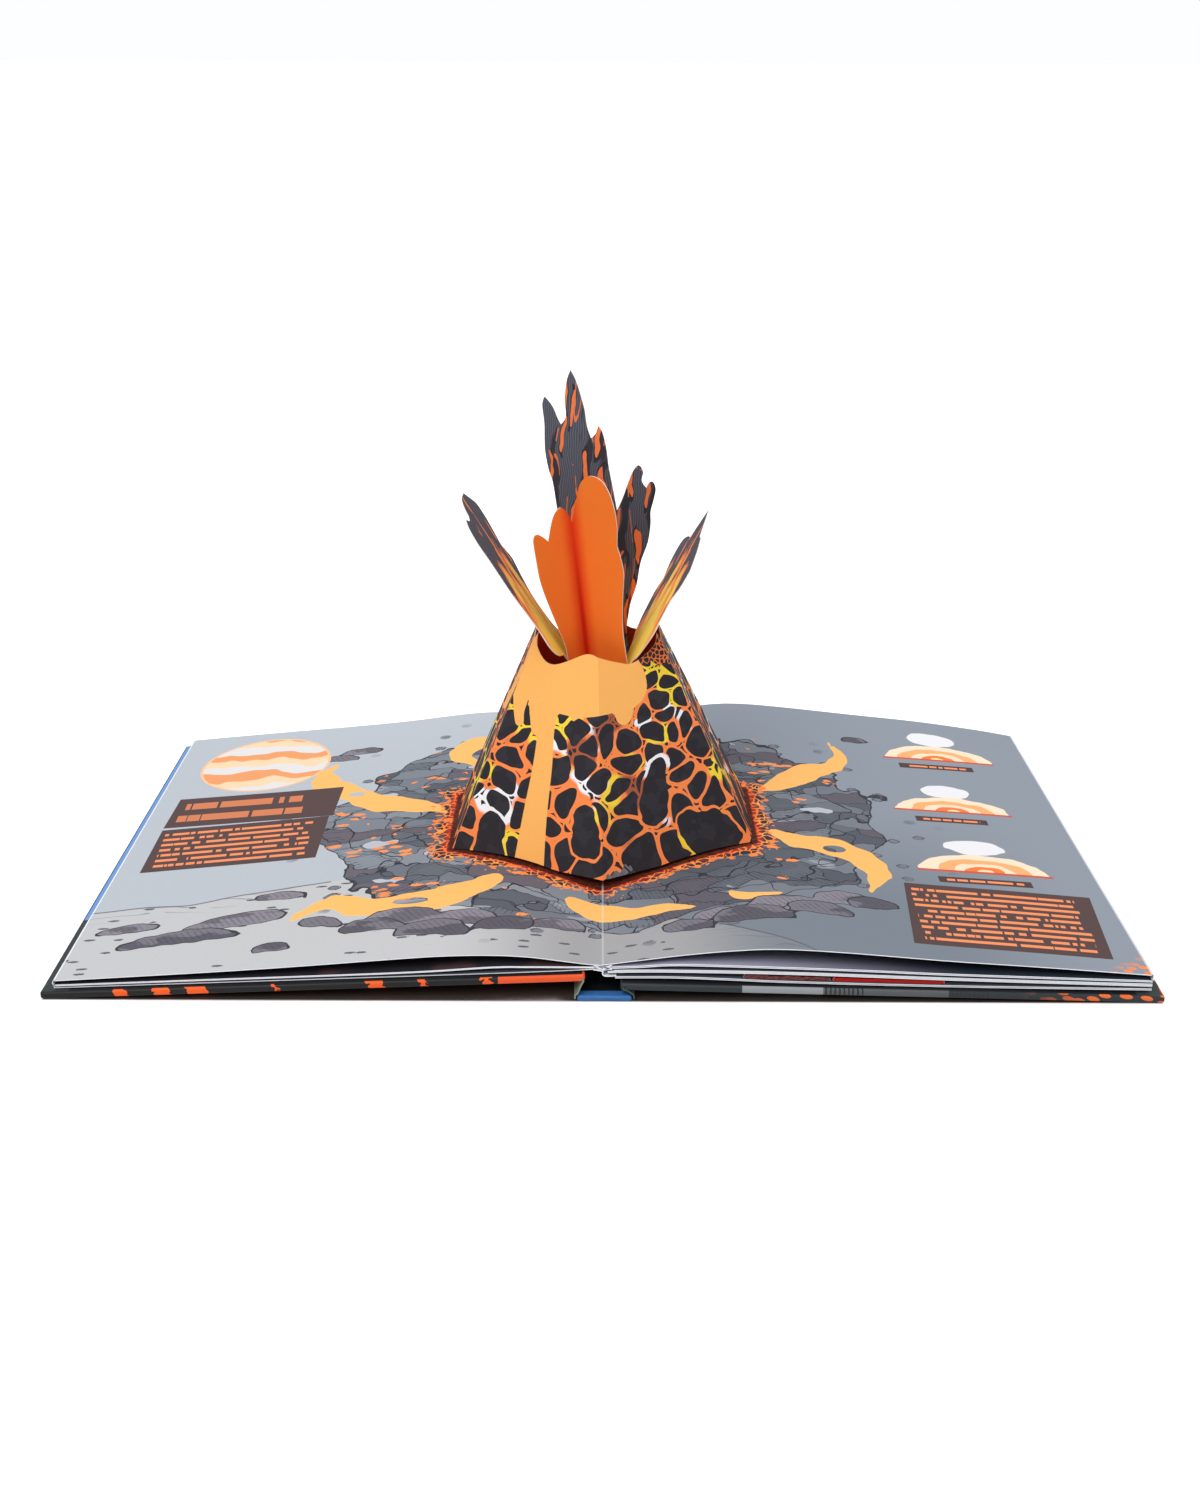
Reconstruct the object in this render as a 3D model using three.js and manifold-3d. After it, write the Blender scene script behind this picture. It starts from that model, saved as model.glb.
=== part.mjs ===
import * as THREE from 'three';
import { mergeVertices } from 'three/addons/utils/BufferGeometryUtils.js';
import Module from 'manifold-3d';

// A pop up book lying open at its volcano spread, in millimetres, with +Z up. X runs along the open
// book, Y from its front edge to its back edge. The origin is on the table, under the gutter.

// Leaves
const pageWidth = 245;
const pageDepth = 288;
const leafThickness = 0.7;
const pairThickness = 1.1;     // two leaves glued back to back
const leftPairThickness = 0.9;
const packThickness = 1.6;
const lastLeafThickness = 0.6; // the leaf that lies on the front cover
const stackClearance = 0.35;   // lowest leaf above its board
const gutterClearance = 1.1;   // the same beside the gutter, where an opening board's end swings up
const gutterSwing = 24;        // reach of that wider clearance
const bedSettles = 38.4;       // from the gutter to where the lowest leaf lies close to its board
const foreEdgeFold = 0.8;      // wall where two leaves are one sheet folded at the fore-edge
const rootLeft = 1.6;          // bundle of folds at the gutter
const rootRight = 2.8;
const liftStart = 72;          // from here to the back edge, the open leaves lift off those below
const liftBands = 8;
const seat = 0.3;              // clearance between pieces that lie on or against each other

// Covers and spine
const foreEdgeSquare = 5.7;    // how far a cover stands out past the leaves at the fore-edge
const headSquare = 3;          // the same at the head and the tail
const boardInnerEnd = 7.7;     // gutter to a board's inner end
const boardThickness = 3.4;
const boardEdgeRadius = 1.1;
const noseBevel = 2.5;         // slope of the inner end, where the covering turns down into the joint
const leftBoardRise = 10;      // how far a board's inner end stands above its outer end
const rightBoardRise = 5.6;
const spineCentreX = 0.8;
const spineWidth = 24.2;
const spineThickness = 2.6;
const spineEdgeRadius = 1;
const jointCloth = 0.7;        // thickness of the covering that crosses the joint
const jointGap = 0.3;
const jointHeight = 0.95;      // hinge line above the table
const jointTurn = 0.2;         // how far below the spine's face the covering turns over its edge
const jointSag = 0.4;          // sag of the covering between the spine and the board
const coverReach = pageWidth + foreEdgeSquare;
const coverDepth = pageDepth + 2 * headSquare;
const boardWidth = coverReach - boardInnerEnd;

// Folded pop ups that lie between the closed leaves
const packetThickness = 1.6;
const packetInset = 2;         // from the leaves' front and back edges
const packets = [[62.5, 101.5], [102.5, 152.5]];

// Volcano cone: a hexagon of card, narrower at the crater
const cardThickness = 0.7;
const coneHalfWidth = 75.5;
const coneSideHalfDepth = 33.5;
const coneReach = 69;          // gutter corners, front and back
const coneGutterLift = 4.5;    // gutter corners above the gutter
const craterHalfWidth = 29.1;
const craterSideHalfDepth = 12.9;
const craterReach = 26.6;
const craterShift = -3;
const craterHeight = 111.9;    // crater corners above the gutter
const coneTabWidth = 13;

// Erupting plumes, each a V of card standing on the gutter
const plumeSpread = 1.2;       // each fold's distance from the middle line
const frontFoldFootX = 3;
const frontFoldTopX = -15.5;
const frontFoldHeight = 164;
const frontWingAngle = 40;     // degrees between a wing and the X axis
const backFoldFootX = 0;
const backFoldTopX = 6.3;
const backFoldHeight = 169.4;
const backWingAngle = 35;
const stemWidth = 24;          // each wing where it meets the page
const stemRoot = 5;            // how far the stems go on below the gutter, to be cut off at the page
const tabWidth = 8;
const tabStart = 4.8;          // from the fold to the tab
const tabEndSquare = 1;        // from the tab's end to the stem's edge
const tabTaper = 2;            // how much shorter the tab's free edge is at its outer end

// Sprays: flat cards leaning out of the crater, held between the plumes' wings
const leftSprayLow = [-19, 98];      // x, and height above the gutter, of two points on the slope
const leftSprayHigh = [-68, 178];
const rightSprayLow = [12.4, 95];
const rightSprayHigh = [50.6, 170];
const sprayRootHeight = 80;          // lower end of the glued root above the gutter
const sprayFreeHeight = 99;          // where a spray leaves the wings

const wasm = await Module();
wasm.setup();

const V = (x, y, z) => new THREE.Vector3(x, y, z);

// Solids and meshes

function toSolid(geometry) {
  const plain = geometry.clone();
  plain.deleteAttribute('normal');
  plain.deleteAttribute('uv');
  const merged = mergeVertices(plain, 1e-5);
  return new wasm.Manifold(new wasm.Mesh({
    numProp: 3,
    vertProperties: new Float32Array(merged.attributes.position.array),
    triVerts: new Uint32Array(merged.index.array),
  }));
}

function toMesh(name, solid, material) {
  const data = solid.getMesh();
  const geometry = new THREE.BufferGeometry();
  geometry.setAttribute('position', new THREE.BufferAttribute(new Float32Array(data.vertProperties), 3));
  geometry.setIndex(new THREE.BufferAttribute(new Uint32Array(data.triVerts), 1));
  geometry.computeVertexNormals();
  const mesh = new THREE.Mesh(geometry, material);
  mesh.name = name;
  return mesh;
}

const join = (solids) => solids.reduce((all, solid) => all.add(solid));

// A section in X and Z, carried along Y from -depth / 2 to depth / 2 in bands of even depth
function carried(outline, depth, bands = 1) {
  const shape = new THREE.Shape(outline.map(([x, z]) => new THREE.Vector2(x, z)));
  const geometry = new THREE.ExtrudeGeometry(shape, { depth, steps: bands, bevelEnabled: false });
  geometry.rotateX(Math.PI / 2);
  geometry.translate(0, depth / 2, 0);
  return toSolid(geometry);
}

// A smooth curve through the given points, as points
function smooth(points, perSpan = 4) {
  const curve = new THREE.SplineCurve(points.map(([a, b]) => new THREE.Vector2(a, b)));
  return curve.getPoints((points.length - 1) * perSpan).map((p) => [p.x, p.y]);
}

// An outline of several smooth runs that meet at sharp tips and notches
function lobes(runs) {
  return runs.flatMap((run, i) => smooth(run, 3).slice(i === 0 ? 0 : 1));
}

// A flat card whose outline is given by its points in space. Its thickness lies half on each side.
function card(outline) {
  const normal = V(0, 0, 0);
  outline.forEach((p, i) => normal.add(p.clone().cross(outline[(i + 1) % outline.length])));
  normal.normalize();
  const across = outline[1].clone().sub(outline[0]).normalize();
  const up = normal.clone().cross(across);
  const flat = outline.map((p) => {
    const offset = p.clone().sub(outline[0]);
    return new THREE.Vector2(offset.dot(across), offset.dot(up));
  });
  const shape = new THREE.Shape(flat);
  const geometry = new THREE.ExtrudeGeometry(shape, { depth: cardThickness, bevelEnabled: false });
  geometry.translate(0, 0, -cardThickness / 2);
  geometry.applyMatrix4(new THREE.Matrix4().makeBasis(across, up, normal).setPosition(outline[0]));
  return toSolid(geometry);
}

// Materials

const paint = (color, roughness) => () => new THREE.MeshStandardMaterial({ color, roughness, metalness: 0 });
const looks = {
  cover: paint(0x2b2b2d, 0.45),
  spine: paint(0x3770ae, 0.45),
  pages: paint(0x9aa2aa, 0.8),
  cone: paint(0xd87a3c, 0.8),
  plume: paint(0xe0702a, 0.8),
  smoke: paint(0x5c5e6a, 0.8),
  packet: paint(0x8c1e14, 0.8),
};

// Covers: each board lies on its outer edge and rises towards the gutter. Its covering goes on down
// into the joint, to the hinge line beside the spine.

const spineLeft = spineCentreX - spineWidth / 2;
const spineRight = spineCentreX + spineWidth / 2;
const hingeOffset = jointGap + jointCloth / 2;
const boardRise = { left: leftBoardRise, right: rightBoardRise };

// Height of a board's upper face, or of its line carried on to the gutter, at a distance from the gutter
function boardTop(side, distance) {
  const slope = boardRise[side] / boardWidth;
  return boardThickness + (coverReach - distance) * slope;
}

// A board lying flat, outer edge at 0 and inner end at its width, with round edges and a sloped nose
function boardOutline() {
  const r = boardEdgeRadius;
  const shape = new THREE.Shape();
  shape.absarc(r, r, r, Math.PI, 1.5 * Math.PI, false);
  shape.absarc(boardWidth - r, r, r, 1.5 * Math.PI, 2 * Math.PI, false);
  shape.lineTo(boardWidth, boardThickness / 2);
  shape.lineTo(boardWidth - noseBevel, boardThickness);
  shape.absarc(r, boardThickness - r, r, 0.5 * Math.PI, Math.PI, false);
  return shape.getPoints(3);
}

// Points of a joint strip, from the hinge line up into the board's nose. Each is a distance out from
// the spine's edge and a height above the table.
function jointPath(side) {
  const rise = boardRise[side] + boardThickness / 2;
  const spineEdge = side === 'left' ? -spineLeft : spineRight;
  const nose = coverReach - boardWidth;
  const overSpine = spineThickness + jointGap + jointCloth;
  return [
    [spineEdge + hingeOffset, jointHeight],
    [spineEdge + hingeOffset, spineThickness - jointTurn],
    [spineEdge - spineEdgeRadius / 2, overSpine],
    [(spineEdge + nose) / 2, (overSpine + rise) / 2 - jointSag],
    [nose + boardEdgeRadius / 2, rise - boardThickness / 2],
    [nose + boardThickness / 2, rise],
  ];
}

// A strip of even thickness along a smooth path
function ribbon(path, thickness) {
  const line = smooth(path);
  const sides = [1, -1].map((sign) => line.map(([x, z], i) => {
    const [x0, z0] = line[Math.max(i - 1, 0)];
    const [x1, z1] = line[Math.min(i + 1, line.length - 1)];
    const length = Math.hypot(x1 - x0, z1 - z0);
    const half = sign * thickness / 2;
    return [x - (z1 - z0) / length * half, z + (x1 - x0) / length * half];
  }));
  return [...sides[0], ...sides[1].reverse()];
}

function cover(side) {
  const tilt = Math.atan(boardRise[side] / boardWidth);
  const r = boardEdgeRadius;
  const board = boardOutline().map(({ x, y }) => {
    const along = (x - r) * Math.cos(tilt) - (y - r) * Math.sin(tilt);
    const height = (x - r) * Math.sin(tilt) + (y - r) * Math.cos(tilt);
    return [coverReach - r - along, r + height];
  });
  const strip = ribbon(jointPath(side), jointCloth);
  const mirror = side === 'left' ? -1 : 1;
  const place = (outline) => outline.map(([x, z]) => [mirror * x, z]);
  return join([carried(place(board), coverDepth), carried(place(strip), coverDepth)]);
}

function spine() {
  const r = spineEdgeRadius;
  const shape = new THREE.Shape();
  shape.absarc(spineLeft + r, r, r, Math.PI, 1.5 * Math.PI, false);
  shape.absarc(spineRight - r, r, r, 1.5 * Math.PI, 2 * Math.PI, false);
  shape.absarc(spineRight - r, spineThickness - r, r, 0, 0.5 * Math.PI, false);
  shape.absarc(spineLeft + r, spineThickness - r, r, 0.5 * Math.PI, Math.PI, false);
  return carried(shape.getPoints(4).map(({ x, y }) => [x, y]), coverDepth);
}

// Leaves. Each line gives the upper face of a leaf, as shares of the page width and heights above its
// board's upper face.

const leafTops = {
  left: {
    spread: [
      [0, 3], [0.033, 4.1], [0.067, 5.6], [0.135, 8.5], [0.204, 10], [0.286, 10.4], [0.367, 9.8],
      [0.65, 6.7], [1, 4.3],
    ],
    second: [[0, 2.3], [0.067, 3], [0.135, 3.7], [0.204, 4.1], [0.367, 2.9], [0.73, 2.5], [1, 2.2]],
  },
  right: {
    spread: [
      [0, 7.8], [0.065, 10.5], [0.143, 13.6], [0.229, 16.3], [0.318, 17.8], [0.439, 16.9],
      [0.624, 14], [0.81, 11.8], [1, 9.2],
    ],
    second: [
      [0, 6.7], [0.067, 7.7], [0.122, 8.9], [0.19, 9.1], [0.347, 8.8], [0.5, 8.2], [0.65, 7.4],
      [1, 6.5],
    ],
    third: [[0, 5.1], [0.122, 6.1], [0.347, 6.4], [0.645, 5.4], [1, 4.8]],
    fourth: [[0, 1.9], [0.122, 2.7], [0.224, 2.4], [0.347, 1.8], [0.645, 1.6], [1, 2.4]],
  },
};

// How far an open leaf's back edge lifts, at shares of the page width
const backLift = {
  left: [[0, 0], [0.08, 3], [0.26, 5.5], [0.49, 3.2], [0.74, 2], [1, 0]],
  right: [[0, 0], [0.08, 4], [0.26, 7.7], [0.48, 6.8], [0.72, 5.2], [0.9, 2.4], [1, 0]],
};

const signOf = { left: -1, right: 1 };

// A leaf's line in place, from the gutter outwards
function leafLine(side, rows) {
  return smooth(rows).map(([share, lift]) => {
    const distance = share * pageWidth;
    return [signOf[side] * distance, boardTop(side, distance) + lift];
  });
}

// The lowest faces, which clear the boards
function bedLine(side) {
  const nearGutter = [0, gutterSwing / 2, gutterSwing];
  return [
    ...nearGutter.map((d) => [signOf[side] * d, boardTop(side, d) + gutterClearance]),
    ...[bedSettles, pageWidth].map((d) => [signOf[side] * d, boardTop(side, d) + stackClearance]),
  ];
}

// Height of a line at a distance from the gutter, on the line's own side
function heightAt(line, x) {
  const next = line.findIndex(([at], k) => k > 0 && Math.abs(at) >= Math.abs(x));
  const i = next < 0 ? line.length - 1 : next;
  const [x0, z0] = line[i - 1];
  const [x1, z1] = line[i];
  return z0 + (z1 - z0) * (Math.abs(x) - Math.abs(x0)) / (Math.abs(x1) - Math.abs(x0));
}

const shifted = (line, lift) => line.map(([x, z]) => [x, z + lift]);
const between = (upper, lower) => carried([...upper, ...lower.slice().reverse()], pageDepth);
const leaf = (upper, thickness) => between(upper, shifted(upper, -thickness));

const spreadLeft = leafLine('left', leafTops.left.spread);
const spreadRight = leafLine('right', leafTops.right.spread);
const secondLeft = leafLine('left', leafTops.left.second);
const secondRight = leafLine('right', leafTops.right.second);
const thirdRight = leafLine('right', leafTops.right.third);
const fourthRight = leafLine('right', leafTops.right.fourth);
const bedLeft = bedLine('left');
const bedRight = bedLine('right');
const gutterHeight = Math.min(spreadLeft[0][1], spreadRight[0][1]);

// An open leaf, which lifts more and more towards its back edge
function openLeaf(side, line) {
  const outline = [...line, ...shifted(line, -leafThickness).reverse()];
  const edge = smooth(backLift[side]).map(([share, lift]) => [share * pageWidth, lift]);
  return carried(outline, pageDepth, liftBands).warp((point) => {
    const share = Math.max(0, (point[1] - liftStart) / (pageDepth / 2 - liftStart));
    point[2] += share ** 2 * heightAt(edge, point[0]);
  });
}

// The end of a sheet that is folded at the fore-edge, from the second leaf up to the open spread
function foreEdge(upper, lower) {
  const [x, high] = upper[upper.length - 1];
  const low = lower[lower.length - 1][1];
  const inner = x - Math.sign(x) * foreEdgeFold;
  const half = leafThickness / 2;
  return carried([[x, low - half], [x, high], [inner, high - half], [inner, low - half]], pageDepth);
}

// The folds of all the leaves, bundled at the gutter
function gutterRoot() {
  const top = gutterHeight - leafThickness / 2;
  const left = bedLeft[0][1];
  const right = bedRight[0][1];
  return carried([
    [-rootLeft, left], [0, left - rootLeft / 2], [0, right], [rootRight / 2, right - rootRight / 2],
    [rootRight, right], [rootRight, top], [-rootLeft, top],
  ], pageDepth);
}

function pageBlock() {
  return join([
    gutterRoot(),
    openLeaf('left', spreadLeft),
    leaf(secondLeft, leftPairThickness),
    between(shifted(bedLeft, lastLeafThickness), bedLeft),
    foreEdge(spreadLeft, secondLeft),
    openLeaf('right', spreadRight),
    leaf(secondRight, pairThickness),
    leaf(thirdRight, packThickness),
    between(fourthRight, bedRight),
    foreEdge(spreadRight, secondRight),
  ]);
}

const spreadTop = [...spreadLeft.slice().reverse(), ...spreadRight.slice(1)];

// The space of the book under the open spread, with a clearance above it
const underSpread = (lift) => between(shifted(spreadTop, lift), [[-pageWidth, -1], [pageWidth, -1]]);

// A card tab that lies on the open spread, with the given plan
function gluedTab(plan) {
  const skin = between(shifted(spreadTop, seat + cardThickness), shifted(spreadTop, seat));
  const shape = new THREE.Shape(plan.map(([x, y]) => new THREE.Vector2(x, y)));
  const prism = new THREE.ExtrudeGeometry(shape, { depth: gutterHeight * 3, bevelEnabled: false });
  return skin.intersect(toSolid(prism));
}

// A folded pop up lying on the fourth leaf
function packet([from, to]) {
  const steps = 6;
  const line = Array.from({ length: steps + 1 }, (_, i) => {
    const x = from + (to - from) * i / steps;
    return [x, heightAt(fourthRight, x) + seat];
  });
  const depth = pageDepth - 2 * packetInset;
  return carried([...shifted(line, packetThickness), ...line.slice().reverse()], depth);
}

// Cone: a hexagonal ring of card. On each face the rim drops below the corners by the given heights, at
// the given shares of the face.

const frontRim = {
  left: [[0, 7.3], [0.19, 6.8], [0.64, 13.7], [0.91, 7.4], [1, 0]],
  right: [[0, 7.3], [0.28, 10.8], [0.51, 12], [0.87, 5.7], [1, 0]],
};
const backRim = [[0, 8], [0.42, 7.6], [0.55, 8.7], [0.89, 8.6], [1, 0]];
const sideRim = [[0, 0], [0.25, 5], [0.75, 5], [1, 0]];
const reversed = (rim) => rim.map(([share, drop]) => [1 - share, drop]).reverse();

// Corners in order round the cone, moved inwards by the thickness of a wall
const faceCount = 6;

function hexagon({ halfWidth, sideHalfDepth, reach, shiftX, leftZ, rightZ, gutterZ }, wall) {
  const turn = Math.atan((reach - sideHalfDepth) / halfWidth);
  const y = reach - wall / Math.cos(turn);
  const x = halfWidth - wall;
  const sideY = y - x * Math.tan(turn);
  return [
    V(shiftX, -y, gutterZ),
    V(shiftX - x, -sideY, leftZ),
    V(shiftX - x, sideY, leftZ),
    V(shiftX, y, gutterZ),
    V(shiftX + x, sideY, rightZ),
    V(shiftX + x, -sideY, rightZ),
  ];
}

function cone() {
  const craterZ = gutterHeight + craterHeight;
  const foot = {
    halfWidth: coneHalfWidth, sideHalfDepth: coneSideHalfDepth, reach: coneReach, shiftX: 0,
    leftZ: heightAt(spreadLeft, -coneHalfWidth), rightZ: heightAt(spreadRight, coneHalfWidth),
    gutterZ: gutterHeight + coneGutterLift,
  };
  const crater = {
    halfWidth: craterHalfWidth, sideHalfDepth: craterSideHalfDepth, reach: craterReach, shiftX: craterShift,
    leftZ: craterZ, rightZ: craterZ, gutterZ: craterZ,
  };
  const rims = [frontRim.left, sideRim, reversed(backRim), backRim, sideRim, reversed(frontRim.right)];

  // Round the cone, each place has four points: outer foot, outer rim, inner rim and inner foot
  const places = rims.flatMap((rim, i) => smooth(rim).slice(0, -1).map(([share, drop]) => {
    const [outer, inner] = [0, cardThickness].map((wall) => {
      const [lows, highs] = [hexagon(foot, wall), hexagon(crater, wall)];
      const low = lows[i].clone().lerp(lows[(i + 1) % faceCount], share);
      const high = highs[i].clone().lerp(highs[(i + 1) % faceCount], share);
      return [low, high.clone().lerp(low, drop / (high.z - low.z))];
    });
    return [...outer, inner[1], inner[0]];
  }));
  const triangles = places.flatMap((_, i) => [0, 1, 2, 3].flatMap((k) => {
    const [here, next] = [i * 4, ((i + 1) % places.length) * 4];
    const up = (k + 1) % 4;
    return [here + k, here + up, next + up, here + k, next + up, next + k];
  }));
  const shell = new THREE.BufferGeometry().setFromPoints(places.flat());
  shell.setIndex(triangles);

  const tabs = [-1, 1].map((sign) => {
    const outer = sign * (coneHalfWidth - cardThickness / 2);
    const inner = sign * (coneHalfWidth - coneTabWidth);
    const end = coneSideHalfDepth - cardThickness * 2;
    const taper = coneTabWidth / 2;
    return gluedTab([[outer, -end], [outer, end], [inner, end - taper], [inner, taper - end]]);
  });
  return join([toSolid(shell).subtract(underSpread(seat)), ...tabs]);
}

// Plumes. A wing's outline is given by distances from the fold and heights above the gutter.

const frontPlumeLeft = [
  [[0, 164], [2.6, 169.4], [6.5, 172.2], [11.5, 168], [15.9, 157.2]],
  [
    [15.9, 157.2], [19, 160], [22.5, 161.6], [24.7, 159], [24.4, 149], [23.6, 139], [21, 128.4],
    [16.2, 113.4], [13.2, 104], [12.5, 94],
  ],
];
const frontPlumeRight = [
  [
    [0, 164], [3.7, 173.5], [7.2, 182.3], [11.2, 187.2], [16.5, 189.2], [22.2, 187.6], [26, 182.6],
    [28.2, 175], [28.6, 166], [27.3, 157],
  ],
  [[27.3, 157], [29, 150.8], [29.7, 143.6], [27.8, 133.2], [25.6, 119.2], [25.2, 110.3], [26, 94]],
];
const backPlumeLeft = [
  [[0, 169.4], [3.1, 180.3], [6, 190.2], [7.8, 198.7], [10.4, 206.1], [13, 209.1]],
  [[13, 209.1], [14.3, 205.2], [17, 202.6]],
  [[17, 202.6], [19.7, 208.3], [21.5, 215.9], [24.4, 223.2], [27.4, 229.6], [30.6, 233.8]],
  [[30.6, 233.8], [32.7, 228], [33.3, 219], [32.3, 211.3], [35.1, 207]],
  [[35.1, 207], [37.2, 209.7], [40.6, 215.2], [45.5, 219.5]],
  [[45.5, 219.5], [46.8, 215.4], [45.2, 206.3], [44.4, 194], [41.8, 184.1], [38.9, 177.8], [35.9, 165.3]],
  [[35.9, 165.3], [33, 148], [29, 128], [26, 110], [24, 94]],
];
const backPlumeRight = [
  [
    [0, 169.4], [3.2, 175.8], [5.8, 182.4], [8.8, 188.4], [11.8, 190.2], [14.4, 186.7],
    [13.9, 182.3], [16.9, 178.4],
  ],
  [
    [16.9, 178.4], [18.7, 180.9], [21, 180.6], [22.7, 176.7], [21.6, 171], [20.3, 166],
    [20.7, 159.4], [19.5, 150.4], [15.8, 141], [14.1, 130.3], [10.7, 120], [9, 108],
  ],
  [[9, 108], [10.4, 100], [14, 94]],
];

const folds = {
  front: {
    foot: V(frontFoldFootX, -plumeSpread, gutterHeight),
    top: V(frontFoldTopX, -plumeSpread, gutterHeight + frontFoldHeight),
    angle: THREE.MathUtils.degToRad(frontWingAngle),
    towards: -1,
  },
  back: {
    foot: V(backFoldFootX, plumeSpread, gutterHeight),
    top: V(backFoldTopX, plumeSpread, gutterHeight + backFoldHeight),
    angle: THREE.MathUtils.degToRad(backWingAngle),
    towards: 1,
  },
};

// A point of a wing, at a distance from its fold and a height above the gutter
function onWing(fold, sign, distance, height) {
  const along = height / (fold.top.z - fold.foot.z);
  const direction = V(sign * Math.cos(fold.angle), fold.towards * Math.sin(fold.angle), 0);
  return fold.foot.clone().lerp(fold.top, along).addScaledVector(direction, distance);
}

function wing(fold, sign, runs) {
  const outline = [...lobes(runs), [stemWidth, stemWidth], [stemWidth, -stemRoot], [0, -stemRoot]];
  const past = -cardThickness / 2;
  const edge = [[past, -stemRoot], [past, outline[0][1]]];
  return card([...outline, ...edge].map(([d, h]) => onWing(fold, sign, d, h)));
}

// The tab of a wing, on the open side of the V
function wingTab({ foot, angle, towards }, sign) {
  const along = [sign * Math.cos(angle), towards * Math.sin(angle)];
  const side = [-sign * Math.sin(angle), towards * Math.cos(angle)];
  const at = (u, v) => [foot.x + along[0] * u + side[0] * v, foot.y + along[1] * u + side[1] * v];
  const end = stemWidth - tabEndSquare;
  return gluedTab([
    at(tabStart, 0), at(end, 0), at(end - tabTaper, tabWidth), at(tabStart + tabWidth, tabWidth),
  ]);
}

function plume(fold, leftRuns, rightRuns) {
  const wings = [wing(fold, -1, leftRuns), wing(fold, 1, rightRuns)];
  const tabs = [wingTab(fold, -1), wingTab(fold, 1)];
  return join([...wings, ...tabs]).subtract(underSpread(seat));
}

// Sprays. An outline gives places along Y and heights above the gutter, from the root's near side round
// the tips to its far side. The root fills the wedge between a front wing and a back wing.

const leftSpray = [
  [
    [-18.6, 101.5], [-25, 105], [-28.8, 110], [-28.4, 118], [-31.6, 128.4], [-34.9, 137.3],
    [-35.7, 146], [-36.3, 155.2], [-37.7, 163], [-35.6, 169.4], [-30.6, 172.4], [-25, 170.5],
    [-20.4, 171.7],
  ],
  [[-20.4, 171.7], [-17.7, 175.3], [-13, 177.6], [-8.9, 178], [-0.6, 178]],
  [[-0.6, 178], [6.5, 174], [13.4, 169.5], [14.2, 164], [13.5, 160], [8.8, 150]],
  [
    [8.8, 150], [12.6, 145], [14.1, 141], [10.4, 135.9], [6.6, 129], [5.5, 123], [8.5, 111.6],
    [13.3, 104.5],
  ],
];
const rightSpray = [
  [[-24, 103.5], [-28.6, 110], [-32.5, 118], [-30.1, 126.7], [-29.5, 134], [-34.7, 142], [-36, 150.2]],
  [[-36, 150.2], [-28.2, 156.7], [-19.3, 161.1]],
  [[-19.3, 161.1], [-14, 161], [-9, 164.5], [-0.2, 170.1]],
  [[-0.2, 170.1], [2.9, 164.6], [8.3, 154.2]],
  [[8.3, 154.2], [15, 153], [22.9, 149.2], [26, 144], [25, 137], [19.5, 129.9]],
  [[19.5, 129.9], [22.6, 124], [23.3, 119.8], [21, 110], [17, 103.5]],
];

function spray(low, high, runs) {
  const lean = (high[0] - low[0]) / (high[1] - low[1]);
  const xAt = (height) => low[0] + lean * (height - low[1]);
  const rootEdge = ({ foot, top, angle, towards }, height) => {
    const foldX = foot.x + (top.x - foot.x) * height / (top.z - foot.z);
    const wingY = foot.y + towards * Math.abs(foldX - xAt(height)) * Math.tan(angle);
    return [wingY - towards * (seat + cardThickness) / Math.cos(angle), height];
  };
  const outline = [
    rootEdge(folds.front, sprayRootHeight),
    rootEdge(folds.front, sprayFreeHeight),
    ...lobes(runs),
    rootEdge(folds.back, sprayFreeHeight),
    rootEdge(folds.back, sprayRootHeight),
  ];
  return card(outline.map(([y, height]) => V(xAt(height), y, gutterHeight + height)));
}

// The book

const book = new THREE.Group();
book.add(
  toMesh('front_cover', cover('left'), looks.cover()),
  toMesh('back_cover', cover('right'), looks.cover()),
  toMesh('spine', spine(), looks.spine()),
  toMesh('page_block', pageBlock(), looks.pages()),
  ...packets.map((reach, i) => toMesh(`folded_popup_${i + 1}`, packet(reach), looks.packet())),
  toMesh('volcano_cone', cone(), looks.cone()),
  toMesh('plume_front', plume(folds.front, frontPlumeLeft, frontPlumeRight), looks.plume()),
  toMesh('plume_back', plume(folds.back, backPlumeLeft, backPlumeRight), looks.smoke()),
  toMesh('spray_left', spray(leftSprayLow, leftSprayHigh, leftSpray), looks.smoke()),
  toMesh('spray_right', spray(rightSprayLow, rightSprayHigh, rightSpray), looks.smoke()),
);

export default book;
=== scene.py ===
import math

import bpy
import numpy as np
from mathutils import Matrix, Vector
from mathutils.geometry import delaunay_2d_cdt


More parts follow.
